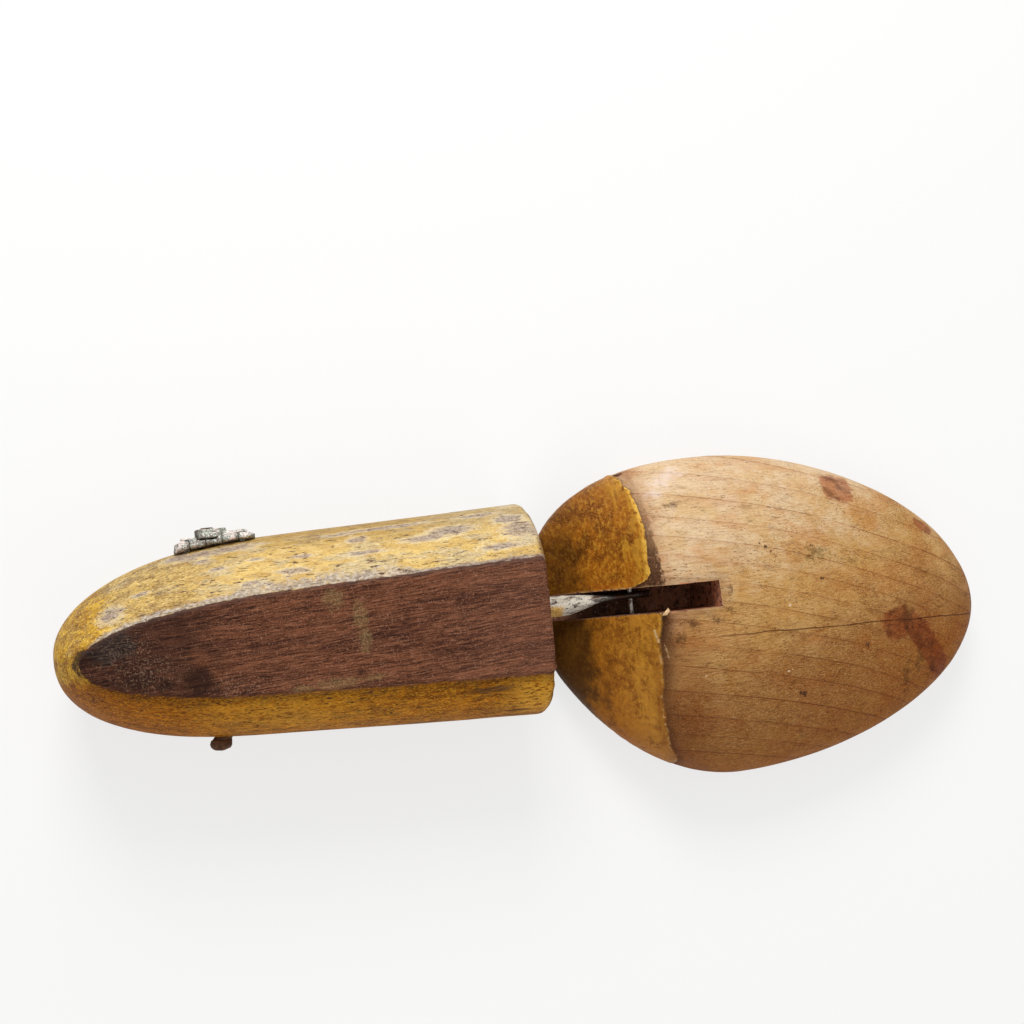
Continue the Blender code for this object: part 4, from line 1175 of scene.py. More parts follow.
def forepart_relief(look):
    """The hand-worked surface: slow waves, the paint with its bead, ridge dents and chips at the slot."""

    def relief(points):
        place = points / MM
        waves = cloud(place, (26, 17, 17), 5) * look.hand_waves
        waves += cloud(place, (5, 2.4, 2.4), 9, 2) * 0.018 * MM
        paint = paint_edge(points)
        coat = eased(paint, -0.2 * MM, 0.35 * MM) * look.paint_thickness
        beaded = hump(paint, 0.75 * MM, 0.55 * MM) * eased(points[:, 1], 2 * MM, 5 * MM)
        beaded = beaded * (0.75 + 0.5 * cloud(place, 2.2, 21, 2)) * look.paint_bead
        lumps = eased(paint, 0, 1 * MM) * cloud(place, 1.9, 33, 3) * 0.055 * MM
        ridge = slope_of(points) - RIDGE_STATION
        bruised = np.maximum(0, cloud(place, (3.0, 4.5, 4.5), 41, 3) - 0.05)
        dents = hump(ridge, 0, 1.5 * MM) * bruised * 0.42 * MM
        rim = hump(slot_rim(points), 0.2 * MM, 0.9 * MM) * eased(points[:, 2], 12 * MM, 16 * MM)
        chipped = rim * np.maximum(0, cloud(place, (2.2, 2.2, 4.0), 57, 3) + 0.05) * 0.3 * MM
        standing = eased(points[:, 2], 0.2 * MM, 3 * MM)
        return (waves + coat + beaded + lumps - dents - chipped) * standing

    return relief


def growth_lines(place):
    """A number that grows across the grain and is whole on each growth line, which bends towards the toe."""
    lines = [-62, -54.5, -48.5, -41.8, -36.6, -31.2, -24.1, -16.7, -10.2, -3.5]
    lines += [2.5, 8.2, 14.2, 19.6, 25.3, 31.8, 38.5, 45.5, 52.5]
    x, y, z = place.T
    across = y + 0.1193 * x + 0.00188 * x**2 + 0.05 * z + cloud(place, (34, 22, 26), 87, 2) * 0.55
    return np.interp(across, lines, np.arange(len(lines)))


def forepart_fields(points):
    """What the finish of the forepart reads: paint, ridge and rim in millimetres, and the marks as depths."""
    place = points / MM
    x, y, z = place.T
    first = patches(place, [(76.3, -14.9, 5.2, 4.7, 17)])
    second = patches(place, [(86.6, -22, 12.4, 3.7, -53)])
    others = patches(place, [(64.3, 26.3, 5.2, 4, -12), (91.9, 12.6, 3.6, 1.5, -34)])
    below = np.where(z < 13, -9, 0)
    chalky = [
        (9.5, 32.6, 27.6, 4.4, 2.8), (13, 34.2, 25.6, 4.8, 2.6), (6.5, 29.6, 30, 2.8, 2.2),
        (14, 35.8, 23, 3, 2),
    ]
    dirty = [
        (10.8, -7.9, 40.6, 3.4, 1.8), (18.4, -8, 40.1, 2.4, 1.4), (22.8, -5.6, 39.7, 1.8, 1.3),
        (10.9, 25.5, 32.7, 3.4, 1.5), (7, -11.5, 39.5, 2.2, 3), (23.4, 0.5, 39.9, 1.2, 3),
    ]
    smudged = [
        (95, -34, 13.5, 5, 5.5), (79.5, -31.5, 23.5, 2.2, 8), (84, -27, 23, 3, 5),
        (52, 8, 34, 6, 3), (96.5, -10.5, 17, 3.6, 3.4), (93, -27, 15, 3.4, 3.8),
    ]
    # Patina and painted shade: the number grows towards the inner side, the toe and the low sides, with a
    # darker patch on the outer side and a lighter one near the toe.
    age = 0.22 - y * 0.02 + x * 0.0062 + cloud(place, (30, 22, 22), 71) * 0.07
    age += 0.1 * eased(x, 30, 70) * eased(y, 8, 20) - 0.2 * eased(x, 84, 98) * eased(y, -14, -2)
    age += np.where(z < 10, (10 - z) * 0.02, 0)
    return {
        "paint": paint_edge(points) / MM,
        "ridge": (slope_of(points) - RIDGE_STATION) / MM,
        "rim": np.where(z > 12, slot_rim(points) / MM, 9),
        "ring": growth_lines(place),
        "stain": np.maximum(np.maximum(first, second), others) + below,
        "twice": eased(np.minimum(first, second), -0.1, 0.1),
        "chalk": blobs(place, chalky),
        "smudge": blobs(place, smudged),
        "dirt": blobs(place, dirty),
        "age": age,
    }


def inside_toe_slot(centres):
    """Whether the middle of a face lies in the slot or in the bore of the forepart."""
    x, y, z = centres.T
    beside = np.abs(y - TOE_SLOT_SHIFT) < TOE_SLOT_HALF + FACE_MARGIN
    slot = beside & (x < TOE_SLOT_REACH + FACE_MARGIN) & (z > TOE_SLOT_FLOOR - FACE_MARGIN)
    away = np.hypot(x, z - TOE_PIN_HEIGHT)
    closed_end = span_of("toe_pin")[0] - SEAT_GAP
    hole = (away < TOE_PIN_RADIUS + RUNNING_GAP + FACE_MARGIN) & (y > closed_end - FACE_MARGIN)
    return slot | hole


def make_forepart(look):
    """The forepart's skin: rings from the rear lip to the toe tip, cut by the slot and the pin's bore."""
    behind = np.linspace(-REAR_REACH, RIDGE_STATION - 3 * MM, 46)
    near = np.linspace(RIDGE_STATION - 3 * MM, RIDGE_STATION + 2 * MM, 16)[1:]
    angle = np.linspace(0, np.pi / 2, 150)[1:]
    ahead = near[-1] + (TOE_REACH - near[-1]) * np.sin(angle)
    stations = np.concatenate([behind, near, ahead])
    upper, lower = forepart_rings(stations, look.ridge_rounding, FOREPART_COLUMNS)
    upper[-1] = lower[-1] = (TOE_REACH + skew_at(TOE_REACH) * TOE_LEAN, -TOE_LEAN, GIRTH_HEIGHT)
    share = np.linspace(0, 1, 12)[:, None, None]
    lip = upper[0] * (1 - share) + lower[0][::-1] * share
    mesh = mesh_of("shaped_forepart", [upper + ORIGIN, lower + ORIGIN, lip + ORIGIN])
    soften(mesh, 0.05, 0.16, int(look.lip_rounding / SOFTENING_STEP))
    raise_relief(mesh, forepart_relief(look))
    piece = new_piece("shaped_forepart", mesh, "forepart", ["forepart_block"])
    low = (-REAR_REACH - 6 * MM, TOE_SLOT_SHIFT - TOE_SLOT_HALF, TOE_SLOT_FLOOR)
    high = (TOE_SLOT_REACH, TOE_SLOT_SHIFT + TOE_SLOT_HALF, RIDGE_HEIGHT + 6 * MM)
    slot = mesh_of("toe_slot", [side + ORIGIN for side in box_grids(low, high, 1.3 * MM)])
    wobble = points_of(slot)
    wobble[:, 1] += cloud((wobble - ORIGIN) / MM, (4.5, 9, 9), 83, 3) * 0.09 * MM
    wobble[:, 0] += cloud((wobble - ORIGIN) / MM, (9, 2.5, 5), 85, 3) * 0.16 * MM
    set_points(slot, wobble)
    start, end = span_of("toe_pin")[:2]
    pin_bore = bore("toe_bore", TOE_PIN_RADIUS, TOE_PIN_PLACE, start - SEAT_GAP, end + CUTTER_OVERRUN, 28)
    carve(piece, [slot, pin_bore])
    write_fields(piece.data, forepart_fields(points_of(piece.data) - ORIGIN))
    dress(piece, [forepart_wood(look), cut_wood(look)], inside_toe_slot)


def torn_wood():
    """Fresh pale wood of a splinter, with its fibres along y."""
    f = Finish("torn_pale_wood", specular=0.2)
    fibre = f.noise((0.3, 2, 0.3), 3, 0.6)
    f.set("Base Color", f.mix(fibre.ease(0.4, 0.6), (214, 164, 112), (244, 214, 168)))
    f.set("Roughness", 0.66 + (fibre - 0.5) * 0.2)
    f.bump(fibre, 0.08)
    return f


def make_splinter(look):
    """The splinter on the slot's lower lip: flat ovals that run from a broad root in the wood to a point."""
    share = np.linspace(0, 1, 16)[:, None]
    angle = np.linspace(0, 2 * np.pi, 25)[None, :]
    wide = look.splinter_width / 2 * np.maximum(0.03, 1 - share ** 1.3)
    root, tip = np.array([4.0, -5.1, 39.7]) * MM, np.array([4.5, -5.1, 40.5]) * MM
    tip[1] += look.splinter_reach
    x = root[0] + (tip[0] - root[0]) * share + wide * np.cos(angle)
    y = root[1] + (tip[1] - root[1]) * share + 0 * angle
    z = root[2] + (tip[2] - root[2]) * share ** 0.7 + 0.16 * wide * np.sin(angle)
    mesh = closed_tube("slot_splinter", np.stack([x, y, z], axis=-1))
    piece = new_piece("slot_splinter", mesh, "forepart", [])
    dress(piece, [torn_wood()])


def make_toe_pin(look):
    """The wire pin: a turned bar with broken ends and a slight drawn waviness."""
    start, end = span_of("toe_pin")[:2]
    inner = np.linspace(start + 0.25 * MM, end - 0.25 * MM, 60)
    wire = TOE_PIN_RADIUS * (1 - 0.015 + 0.015 * np.sin(inner * 2100))
    profile = [(start, TOE_PIN_RADIUS * 0.72), *zip(inner, wire), (end, TOE_PIN_RADIUS * 0.72)]
    mesh = turned_mesh("bright_toe_pin", profile, 40, TOE_PIN_PLACE)
    piece = new_piece("bright_toe_pin", mesh, "forepart", ["toe_pin"])
    dress(piece, [bright_steel(look)])


# Link


def link_section(t):
    """Half thickness, half height and sideways shift of the link at distances t behind the toe pin."""
    toe = 1 - eased(t, BLADE_LENGTH, BLADE_LENGTH + BLADE_TAPER)
    heel = eased(t, LINK_LENGTH - EYE_LENGTH - EYE_TAPER, LINK_LENGTH - EYE_LENGTH)
    thick = ROD_RADIUS + (BLADE_THICKNESS / 2 - ROD_RADIUS) * toe + (EYE_THICKNESS / 2 - ROD_RADIUS) * heel
    tall = ROD_RADIUS + (BLADE_HEIGHT / 2 - ROD_RADIUS) * toe + (EYE_HEIGHT / 2 - ROD_RADIUS) * heel
    tall = np.where(t < 0, np.sqrt(np.maximum(0, (BLADE_HEIGHT / 2) ** 2 - t**2)), tall)
    past = np.maximum(0, t - LINK_LENGTH)
    tall = np.where(past > 0, np.sqrt(np.maximum(0, (EYE_HEIGHT / 2) ** 2 - past**2)), tall)
    return thick, tall, BLADE_SHIFT * toe


def make_link(look):
    """The link: rings from the blade to the eye, rounder where it is thick, with a lumpy crust on the rod."""
    bend = np.sin(np.linspace(0, np.pi / 2, 16))
    front = -BLADE_HEIGHT / 2 * bend[::-1]
    rear = LINK_LENGTH + EYE_HEIGHT / 2 * bend
    t = np.concatenate([front, np.linspace(0, LINK_LENGTH, LINK_STATIONS)[1:-1], rear])
    thick, tall, shift = (part[:, None] for part in link_section(t))
    angle = np.linspace(0, 2 * np.pi, LINK_COLUMNS)[None, :]
    power = 1 - 0.55 * np.maximum(0, 1 - thick / ROD_RADIUS)
    c, s = np.cos(angle), np.sin(angle)
    local_x = np.broadcast_to(-t[:, None], thick.shape) + 0 * angle
    local_y = shift + thick * np.sign(c) * np.abs(c) ** power
    local_z = tall * np.sign(s) * np.abs(s) ** power
    pitch = math.asin((BOLT_HEIGHT - TOE_PIN_HEIGHT) / LINK_LENGTH)
    x = local_x * math.cos(pitch) + local_z * math.sin(pitch)
    z = -local_x * math.sin(pitch) + local_z * math.cos(pitch) + TOE_PIN_HEIGHT
    mesh = closed_tube("hammered_link", np.stack([x, local_y, z], axis=-1))

    def relief(points):
        place = points / MM
        rod = eased(-points[:, 0], 9 * MM, 16 * MM) * eased(points[:, 0] - BOLT_STATION, 10 * MM, 18 * MM)
        crust = cloud(place, (2.8, 1.8, 1.8), 15, 3) * 0.18 * MM * rod
        return crust + cloud(place, (6, 3, 4), 19, 2) * 0.05 * MM

    raise_relief(mesh, relief)
    piece = new_piece("hammered_link", mesh, "link", ["link_rod"])
    blade_hole = bore("blade_hole", TOE_PIN_RADIUS, TOE_PIN_PLACE, -CUTTER_OVERRUN, CUTTER_OVERRUN)
    eye_hole = bore("eye_hole", BOLT_RADIUS, BOLT_PLACE, -CUTTER_OVERRUN, CUTTER_OVERRUN)
    carve(piece, [blade_hole, eye_hole])
    dress(piece, [chalky_steel(look)])


# Heel block


def heel_above(z):
    """How far a height lies from the girth line to the flat top, from nought to one."""
    return np.maximum(0, z - HEEL_GIRTH_HEIGHT) / (HEEL_HEIGHT - HEEL_GIRTH_HEIGHT)


def heel_below(z):
    """How far a height lies from the girth line down to the seat, from nought to one."""
    return np.maximum(0, HEEL_GIRTH_HEIGHT - z) / HEEL_GIRTH_HEIGHT


def heel_half_width(z):
    """Half the width at the front: an ellipse that the flat top and the seat cut off."""
    up = math.sqrt(1 - (HEEL_TOP_WIDTH / HEEL_WIDTH) ** 2) * heel_above(z)
    down = math.sqrt(1 - (HEEL_SEAT_WIDTH / HEEL_WIDTH) ** 2) * heel_below(z)
    return HEEL_WIDTH / 2 * np.sqrt(np.maximum(0, 1 - up**2 - down**2))


def heel_length(z):
    """The length at a height, which draws in towards the top and, less, towards the seat."""
    top_inset = HEEL_LENGTH - HEEL_TOP_LENGTH
    return HEEL_LENGTH - top_inset * heel_above(z) ** 2 - HEEL_SEAT_INSET * heel_below(z) ** 2


def heel_shift(z):
    """How far the section's middle lies from the rod's plane."""
    return HEEL_GIRTH_SHIFT + (HEEL_TOP_SHIFT - HEEL_GIRTH_SHIFT) * heel_above(z)


def heel_side(x, z, nose_curve=HEEL_OUTER_NOSE_CURVE):
    """The distance from the section's middle to its outer side, or with the other curve to its inner side."""
    back, length = np.maximum(0, HEEL_FRONT - x), heel_length(z)
    taper = HEEL_SIDE_TAPER + (HEEL_TOP_TAPER - HEEL_SIDE_TAPER) * heel_above(z)
    nose = np.maximum(0, back - (length - HEEL_NOSE_LENGTH)) / HEEL_NOSE_LENGTH
    return heel_half_width(z) * (1 - taper * back / length) * falling(nose, nose_curve)


def heel_outline(z, inset, way):
    """One side of the bullet outline at each height: a round front corner, the tapered side and the nose."""
    z, inset = z[:, None], inset[:, None]
    length, r = heel_length(z) - inset, HEEL_CORNER_RADIUS
    straight = length - HEEL_NOSE_LENGTH
    angle = np.linspace(np.pi / 2, 0, 8)[None, :]
    corner_back = inset + r * (1 - np.sin(angle))
    corner_draw = r * (1 - np.cos(angle)) + 0 * z
    along = np.linspace(0, 1, 96)[None, 1:]
    side_back = inset + r + (straight - inset - r) * along
    nose_back = straight + HEEL_NOSE_LENGTH * np.sin(np.linspace(0, np.pi / 2, 84)[None, 1:])
    back = np.concatenate([corner_back, side_back, nose_back], axis=1)
    draw = np.concatenate([corner_draw, 0 * side_back, 0 * nose_back], axis=1)
    x = HEEL_FRONT - back
    curve = HEEL_OUTER_NOSE_CURVE if way > 0 else HEEL_INNER_NOSE_CURVE
    wide = heel_side(np.minimum(HEEL_FRONT, x - np.where(back > straight, inset, 0)), z, curve)
    half = np.maximum(0, wide - draw - inset)
    half[:, -1] = 0
    return np.stack([x, heel_shift(z) + way * half, z + 0 * x], axis=-1)


def heel_flat(points):
    """How far inside the border of the flat top a point lies, in metres, negative down the sides."""
    x, y, z = points.T
    top = np.full(len(x), HEEL_HEIGHT)
    outer, inner = heel_side(x, top), heel_side(x, top, HEEL_INNER_NOSE_CURVE)
    aside = np.abs(y - HEEL_TOP_SHIFT) - np.where(y > HEEL_TOP_SHIFT, outer, inner)
    down = HEEL_HEIGHT - z
    return np.where(down < 0.35 * MM, -aside, -np.hypot(np.maximum(aside, 0), down))


def heel_relief(look):
    """Slow waves of the shaving, and a lightly dented border round the flat top."""

    def relief(points):
        place = points / MM
        waves = cloud(place, (32, 15, 15), 3) * look.hand_waves
        waves += cloud(place, (6, 2.2, 2.2), 7, 2) * 0.02 * MM
        border = heel_flat(points)
        dents = hump(border, 0, 1.3 * MM) * np.maximum(0, cloud(place, (5, 3, 3), 47, 3) - 0.1) * 0.35 * MM
        front = hump(points[:, 0], HEEL_FRONT, 1.5 * MM)
        dents += front * np.maximum(0, cloud(place, (3, 4, 4), 49, 3) - 0.1) * 0.45 * MM
        return (waves - dents) * eased(points[:, 2], 0.3 * MM, 4 * MM)

    return relief


def heel_fields(points):
    """What the heel's finish reads: the flat top's border in millimetres, and the marks as depths."""
    place = points / MM
    x, y, z = place.T
    bare = [
        (-144.3, 10.1, 44.5, 3.2, 3), (-136.6, 14.6, 42, 2.4, 1), (-120.1, 21.9, 36.1, 2.2, 1.3),
        (-107.7, 14.8, 47.4, 2.8, 1), (-106.2, 21.1, 39.9, 2.2, 0.8), (-97, 17.1, 45.7, 3.6, 1.2),
        (-93.7, 20.8, 41.4, 3, 0.8), (-127.5, 23.6, 29.4, 3.6, 2.6), (-121, 23.9, 31.6, 6.5, 2.4),
        (-113, 24.6, 32, 8, 2.2), (-79.3, 23.8, 37.6, 2.6, 1.5), (-83.9, 25.7, 33.4, 4, 0.9),
        (-60.8, 22.3, 41.2, 6, 1.5), (-53.6, 23.9, 39.4, 6, 2.4), (-77.6, 20.1, 43.2, 6, 0.9),
        (-35, 22.6, 42.6, 4.8, 4.2), (-37.5, 25.6, 38, 3.8, 2.4), (-45.1, 27.6, 32.8, 5.4, 1.4),
        (-41.1, 18.1, 47, 5.6, 1.1), (-116.1, 19.4, 41.1, 3, 0.7), (-72, 26.9, 32.6, 12, 1.3),
        (-47.3, -19.5, 47.5, 7.2, 1.3), (-86, -22, 41, 2.4, 0.8), (-113, -20.8, 40, 3.4, 1),
        (-131, -16.5, 41, 2.6, 1), (-40, -26.4, 38, 4, 1), (-66, -27.8, 28, 6, 1.6),
        (-95, -25.6, 24, 5, 2.2), (-52, -28.6, 14, 8, 2.6), (-60, 28.8, 16, 9, 2.4),
        (-95, 26.2, 15, 6, 2), (-140, 16, 22, 4, 2.2), (-150, -8, 20, 4, 3),
        (-155.5, 4, 30, 2, 2), (-35, 27, 26, 4, 3), (-34, -27, 22, 3.6, 3),
    ]
    blue = [(-142.5, 2.4, 50, 5.4, 4.8), (-146, 0.8, 50, 4.6, 3.4)]
    dark = [(-123.2, -8.8, 50, 5.2, 5), (-147, 4.6, 49.6, 4, 2.6), (-151, 0.6, 50, 3.4, 4.2)]
    dark += [(-138.6, -7.6, 50, 6.5, 2.6), (-131.5, -9, 50, 4, 1.8)]
    smear = [
        (-87.4, 8.6, 50, 3.6, 3.2), (-81, 3.8, 50, 2.6, 4.6), (-80.2, -2.8, 50, 2.2, 4.4),
        (-88.5, -13.2, 50, 8, 1.7), (-97, -13.6, 50, 4, 1.2), (-78.5, -12.6, 50, 4, 1),
    ]
    dust = [(-113.5, -11.2, 50, 7.5, 3.4), (-136, -5, 50, 12, 7), (-140, 1, 50, 9, 6)]
    soot = [(-152.1, 0.2, 49.4, 3.4, 2.8), (-149.8, -2.8, 49.2, 2.8, 2.2)]
    soot += [(-153.8, -1.6, 47.6, 2.2, 1.6), (-151.6, -3.4, 48.6, 2.2, 1.3)]
    flat = heel_flat(points) / MM
    outer = eased(y, 2, 9)
    stations = [-158, -148, -140, -120, -108, -90, -74, -66, -58, -30]
    widths = [1.1, 1.5, 1.5, 2, 3.6, 4.6, 4, 2.2, 1, 0.7]
    width = np.interp(x, stations, widths) * (1 + 0.35 * cloud(place, (9, 3, 3), 91))
    chalk = eased(-flat, 1.35 * width, 0.35 * width) * eased(y, 1.5, 5) * (flat < 0)
    return {
        "flat": flat,
        "bare": blobs(place, bare),
        "chalk": chalk,
        "lilac": outer * eased(x, -74, -62),
        "deep": np.clip(eased(y, 9, -4) + 0.22 * eased(z, 24, 8), 0, 1),
        "corner": np.maximum(eased(x, -48, -36), hump(x, -102, 22) * 0.5) * eased(z, 32, 42),
        "seat": np.where(z < 1.2, eased(29 - np.abs(y) - 0.12 * np.abs(x + 30), 0, 9), 0),
        "front": eased(x, HEEL_FRONT / MM - 1.6, HEEL_FRONT / MM - 0.2),
        "blue": blobs(place, blue),
        "smear": blobs(place, smear),
        "dust": blobs(place, dust),
        "soot": blobs(place, soot),
        "shade": np.maximum(eased(x, -104, -134) * 0.9, 1.6 * blobs(place, dark)),
        "dark": blobs(place, dark),
        "nose": eased(x, -140, -152) * eased(z, 12, 30) * eased(y, -10, -2),
        "tired": outer * np.clip(eased(y, 17, 27) * 0.45 + eased(x, -105, -133) * 0.8, 0, 1),
    }


def rod_height(x):
    """The height of the rod's axis at a station."""
    return TOE_PIN_HEIGHT + (BOLT_HEIGHT - TOE_PIN_HEIGHT) * x / BOLT_STATION


def heel_slot(margin):
    """The slot under the heel block: an outline in x and z, whose roof follows the rod and clears the eye."""
    roof = ROD_RADIUS + ROD_TO_ROOF
    eye = EYE_HEIGHT / 2 + ROD_TO_ROOF
    throat = BOLT_STATION + EYE_LENGTH + EYE_TAPER
    outline = np.array([
        (HEEL_FRONT + margin, -margin),
        (HEEL_FRONT + margin, rod_height(HEEL_FRONT + margin) + roof),
        (throat, rod_height(throat) + roof),
        (BOLT_STATION + eye, BOLT_HEIGHT + eye),
        (BOLT_STATION - eye, BOLT_HEIGHT + eye),
        (BOLT_STATION - eye, -margin),
    ])
    y = np.linspace(-HEEL_SLOT_HALF, HEEL_SLOT_HALF, 5)
    loop = np.concatenate([outline, outline[:1]])
    walls = np.empty((len(loop), len(y), 3))
    walls[..., 0], walls[..., 1], walls[..., 2] = loop[:, :1], y, loop[:, 1:]
    walls += ORIGIN
    return mesh_of("heel_slot", [walls], [walls[:-1, 0], walls[:-1, -1]])


def inside_heel_cuts(centres):
    """Whether the middle of a face lies in the rod's slot or in a bore of the heel block."""
    x, y, z = centres.T
    eye = EYE_HEIGHT / 2 + ROD_TO_ROOF
    throat = BOLT_STATION + EYE_LENGTH + EYE_TAPER
    roof = np.where(x > throat, rod_height(x) + ROD_RADIUS + ROD_TO_ROOF, BOLT_HEIGHT + eye)
    slot = (np.abs(y) < HEEL_SLOT_HALF + FACE_MARGIN) & (z > 1.5 * FACE_MARGIN) & (z < roof + 1.5 * MM)
    slot &= (x > BOLT_STATION - eye - FACE_MARGIN) & (x < HEEL_FRONT - 2 * FACE_MARGIN)
    hole = np.hypot(x - BOLT_STATION, z - BOLT_HEIGHT) < BOLT_RADIUS + RUNNING_GAP + FACE_MARGIN
    return slot | hole


def make_heel(look):
    """The heel's skin: outlines from seat to top, a front face and flat ends, cut by the slot and bores."""
    turn = np.linspace(0, np.pi / 2, 7)
    low_z, low_inset = HEEL_EDGE_RADIUS * (1 - np.cos(turn)), HEEL_EDGE_RADIUS * (1 - np.sin(turn))
    below = np.linspace(HEEL_EDGE_RADIUS, HEEL_GIRTH_HEIGHT, 30)[1:]
    above = HEEL_GIRTH_HEIGHT + (HEEL_HEIGHT - HEEL_GIRTH_HEIGHT) * np.sin(np.linspace(0, np.pi / 2, 58)[1:])
    z = np.concatenate([low_z, below, above])
    inset = np.concatenate([low_inset, np.zeros(len(below) + len(above))])
    left, right = heel_outline(z, inset, 1), heel_outline(z, inset, -1)
    share = np.linspace(0, 1, 64)[:, None, None]
    front = np.moveaxis(left[:, 0] * (1 - share) + right[:, 0] * share, 0, 1)
    ends = [np.moveaxis(left[k] * (1 - share) + right[k] * share, 0, 1) for k in (0, -1)]
    mesh = mesh_of("painted_heel", [grid + ORIGIN for grid in (left, right, front, *ends)])
    soften(mesh, 0.05, 0.15, int(look.edge_rounding / SOFTENING_STEP))
    raise_relief(mesh, heel_relief(look))
    piece = new_piece("painted_heel", mesh, "heel", ["heel_block"])
    reach = HEEL_WIDTH / 2 + CUTTER_OVERRUN
    cutters = [heel_slot(10 * MM), bore("bolt_bore", BOLT_RADIUS, BOLT_PLACE, -reach, reach)]
    for name in TACK_NAMES:
        start, end, middle = span_of(name)
        place = (middle, 0, BOLT_HEIGHT)
        cutters.append(bore(name + "_bore", TACK_RADIUS, place, start - SEAT_GAP, end + CUTTER_OVERRUN, 20))
    carve(piece, cutters)
    write_fields(piece.data, heel_fields(points_of(piece.data) - ORIGIN))
    dress(piece, [heel_paint(look), cut_wood(look)], inside_heel_cuts)


# Bolt, nut, strip and tacks


def make_bolt(look):
    """The cross bolt: a rusted dome on the inner side, a long shank and a short threaded end past the nut."""
    start, end = span_of("heel_bolt")[:2]
    seat = start + BOLT_HEAD_HEIGHT
    angle = np.linspace(0.06, np.pi / 2, 20)
    blunt = np.sin(angle) ** 0.55
    dome = list(zip(seat - BOLT_HEAD_HEIGHT * (0.35 + 0.65 * np.cos(angle)), BOLT_HEAD_RADIUS * 0.94 * blunt))
    shank = BOLT_RADIUS
    thread = np.linspace(end - 5 * MM, end - 0.4 * MM, 60)
    cut = shank * (0.94 + 0.06 * np.cos(thread * 2 * np.pi / (0.7 * MM)))
    collar = BOLT_HEAD_RADIUS * 0.84
    profile = [*dome, (seat - 0.2 * MM, BOLT_HEAD_RADIUS * 0.92), (seat, collar), (seat + 1.2 * MM, collar)]
    profile += [(seat + 1.3 * MM, shank)]
    profile += [*zip(thread, cut), (end, shank * 0.8)]
    mesh = turned_mesh("rusted_bolt", profile, 48, BOLT_PLACE)

    def relief(points):
        head = eased(points[:, 1], seat + 0.5 * MM, seat - 0.5 * MM)
        return head * cloud(points / MM, 1.7, 61, 3) * 0.3 * MM

    raise_relief(mesh, relief)
    points = points_of(mesh)
    bent = eased(points[:, 1] - ORIGIN[1], seat + 0.9 * MM, seat - 0.3 * MM)
    set_points(mesh, points - np.outer(bent, (look.bent_head, 0, 0)))
    piece = new_piece("rusted_bolt", mesh, "heel", ["heel_bolt"])
    dress(piece, [rusty_steel(look)])


def make_nut(look):
    """The nut: a hexagon whose corners a cone cuts off on both faces, under a lumpy crust."""
    seat, end = span_of("bolt_nut")[:2]
    angle = np.linspace(0, 2 * np.pi, 97)
    flat = NUT_ACROSS_FLATS / 2
    hexagon = flat / np.cos((angle % (np.pi / 3)) - np.pi / 6)
    y = np.linspace(seat, end, 14)[:, None]
    cone = flat * 1.02 + np.minimum(y - seat, end - y) * 1.9
    rim = np.minimum(hexagon[None, :], cone)
    hole = BOLT_RADIUS + RUNNING_GAP
    grids = []
    for share in (np.linspace(1, 0, 6), None, np.linspace(0, 1, 6)):
        if share is None:
            radius, depth = rim, y + 0 * rim
        else:
            side = -1 if share[0] < 1 else 0
            radius = hole + (rim[side] - hole) * (1 - share[:, None])
            depth = y[side] + 0 * radius
        off = look.off_nut * eased(radius, hole, hole + 0.6 * MM)
        grids.append(np.stack([radius * np.cos(angle) + off, depth, radius * np.sin(angle)], axis=-1))
    wall = np.linspace(end, seat, 5)[:, None] + 0 * angle
    grids.append(np.stack([hole * np.cos(angle) + 0 * wall, wall, hole * np.sin(angle) + 0 * wall], axis=-1))
    place = ORIGIN + BOLT_PLACE
    mesh = mesh_of("crusted_nut", [grid + place for grid in grids])

    def relief(points):
        away = np.hypot(points[:, 0] - BOLT_STATION, points[:, 2] - BOLT_HEIGHT)
        outside = eased(away, hole + 0.2 * MM, hole + 0.8 * MM) * eased(points[:, 1], seat, seat + 0.6 * MM)
        return outside * (cloud(points / MM, 1.9, 67, 3) * 0.3 * MM)

    raise_relief(mesh, relief)
    points = points_of(mesh) - ORIGIN
    # Painted shade on the nut: darker on its rear side and next to its seat on the strip.
    rear_side = eased(points[:, 0] - BOLT_STATION, -0.5 * MM, -3 * MM)
    hollow = np.maximum(eased(points[:, 1], seat + 0.8 * MM, seat) * 0.8, rear_side * 0.7)
    write_fields(mesh, {"hollow": hollow, "teal": np.ones(len(points))})
    piece = new_piece("crusted_nut", mesh, "heel", ["bolt_nut"])
    dress(piece, [crusted_steel(look)])


def crust_height(x):
    """How high the crust of the strip stands over the wood at a station.

    It runs through places that are a station and a height in millimetres, from the nose to the front."""
    places = [
        (-128, 0.9), (-126.8, 2.5), (-125.2, 3.1), (-123.6, 2.4), (-122.4, 3.1), (-121, 3.3), (-120, 2.6),
        (-115.4, 2.6), (-114.4, 3.3), (-112.6, 3), (-110.6, 2.7), (-108.8, 2), (-107.2, 1.7), (-105.8, 1),
    ]
    stations, heights = np.array(places).T * MM
    return np.interp(x, stations, heights)


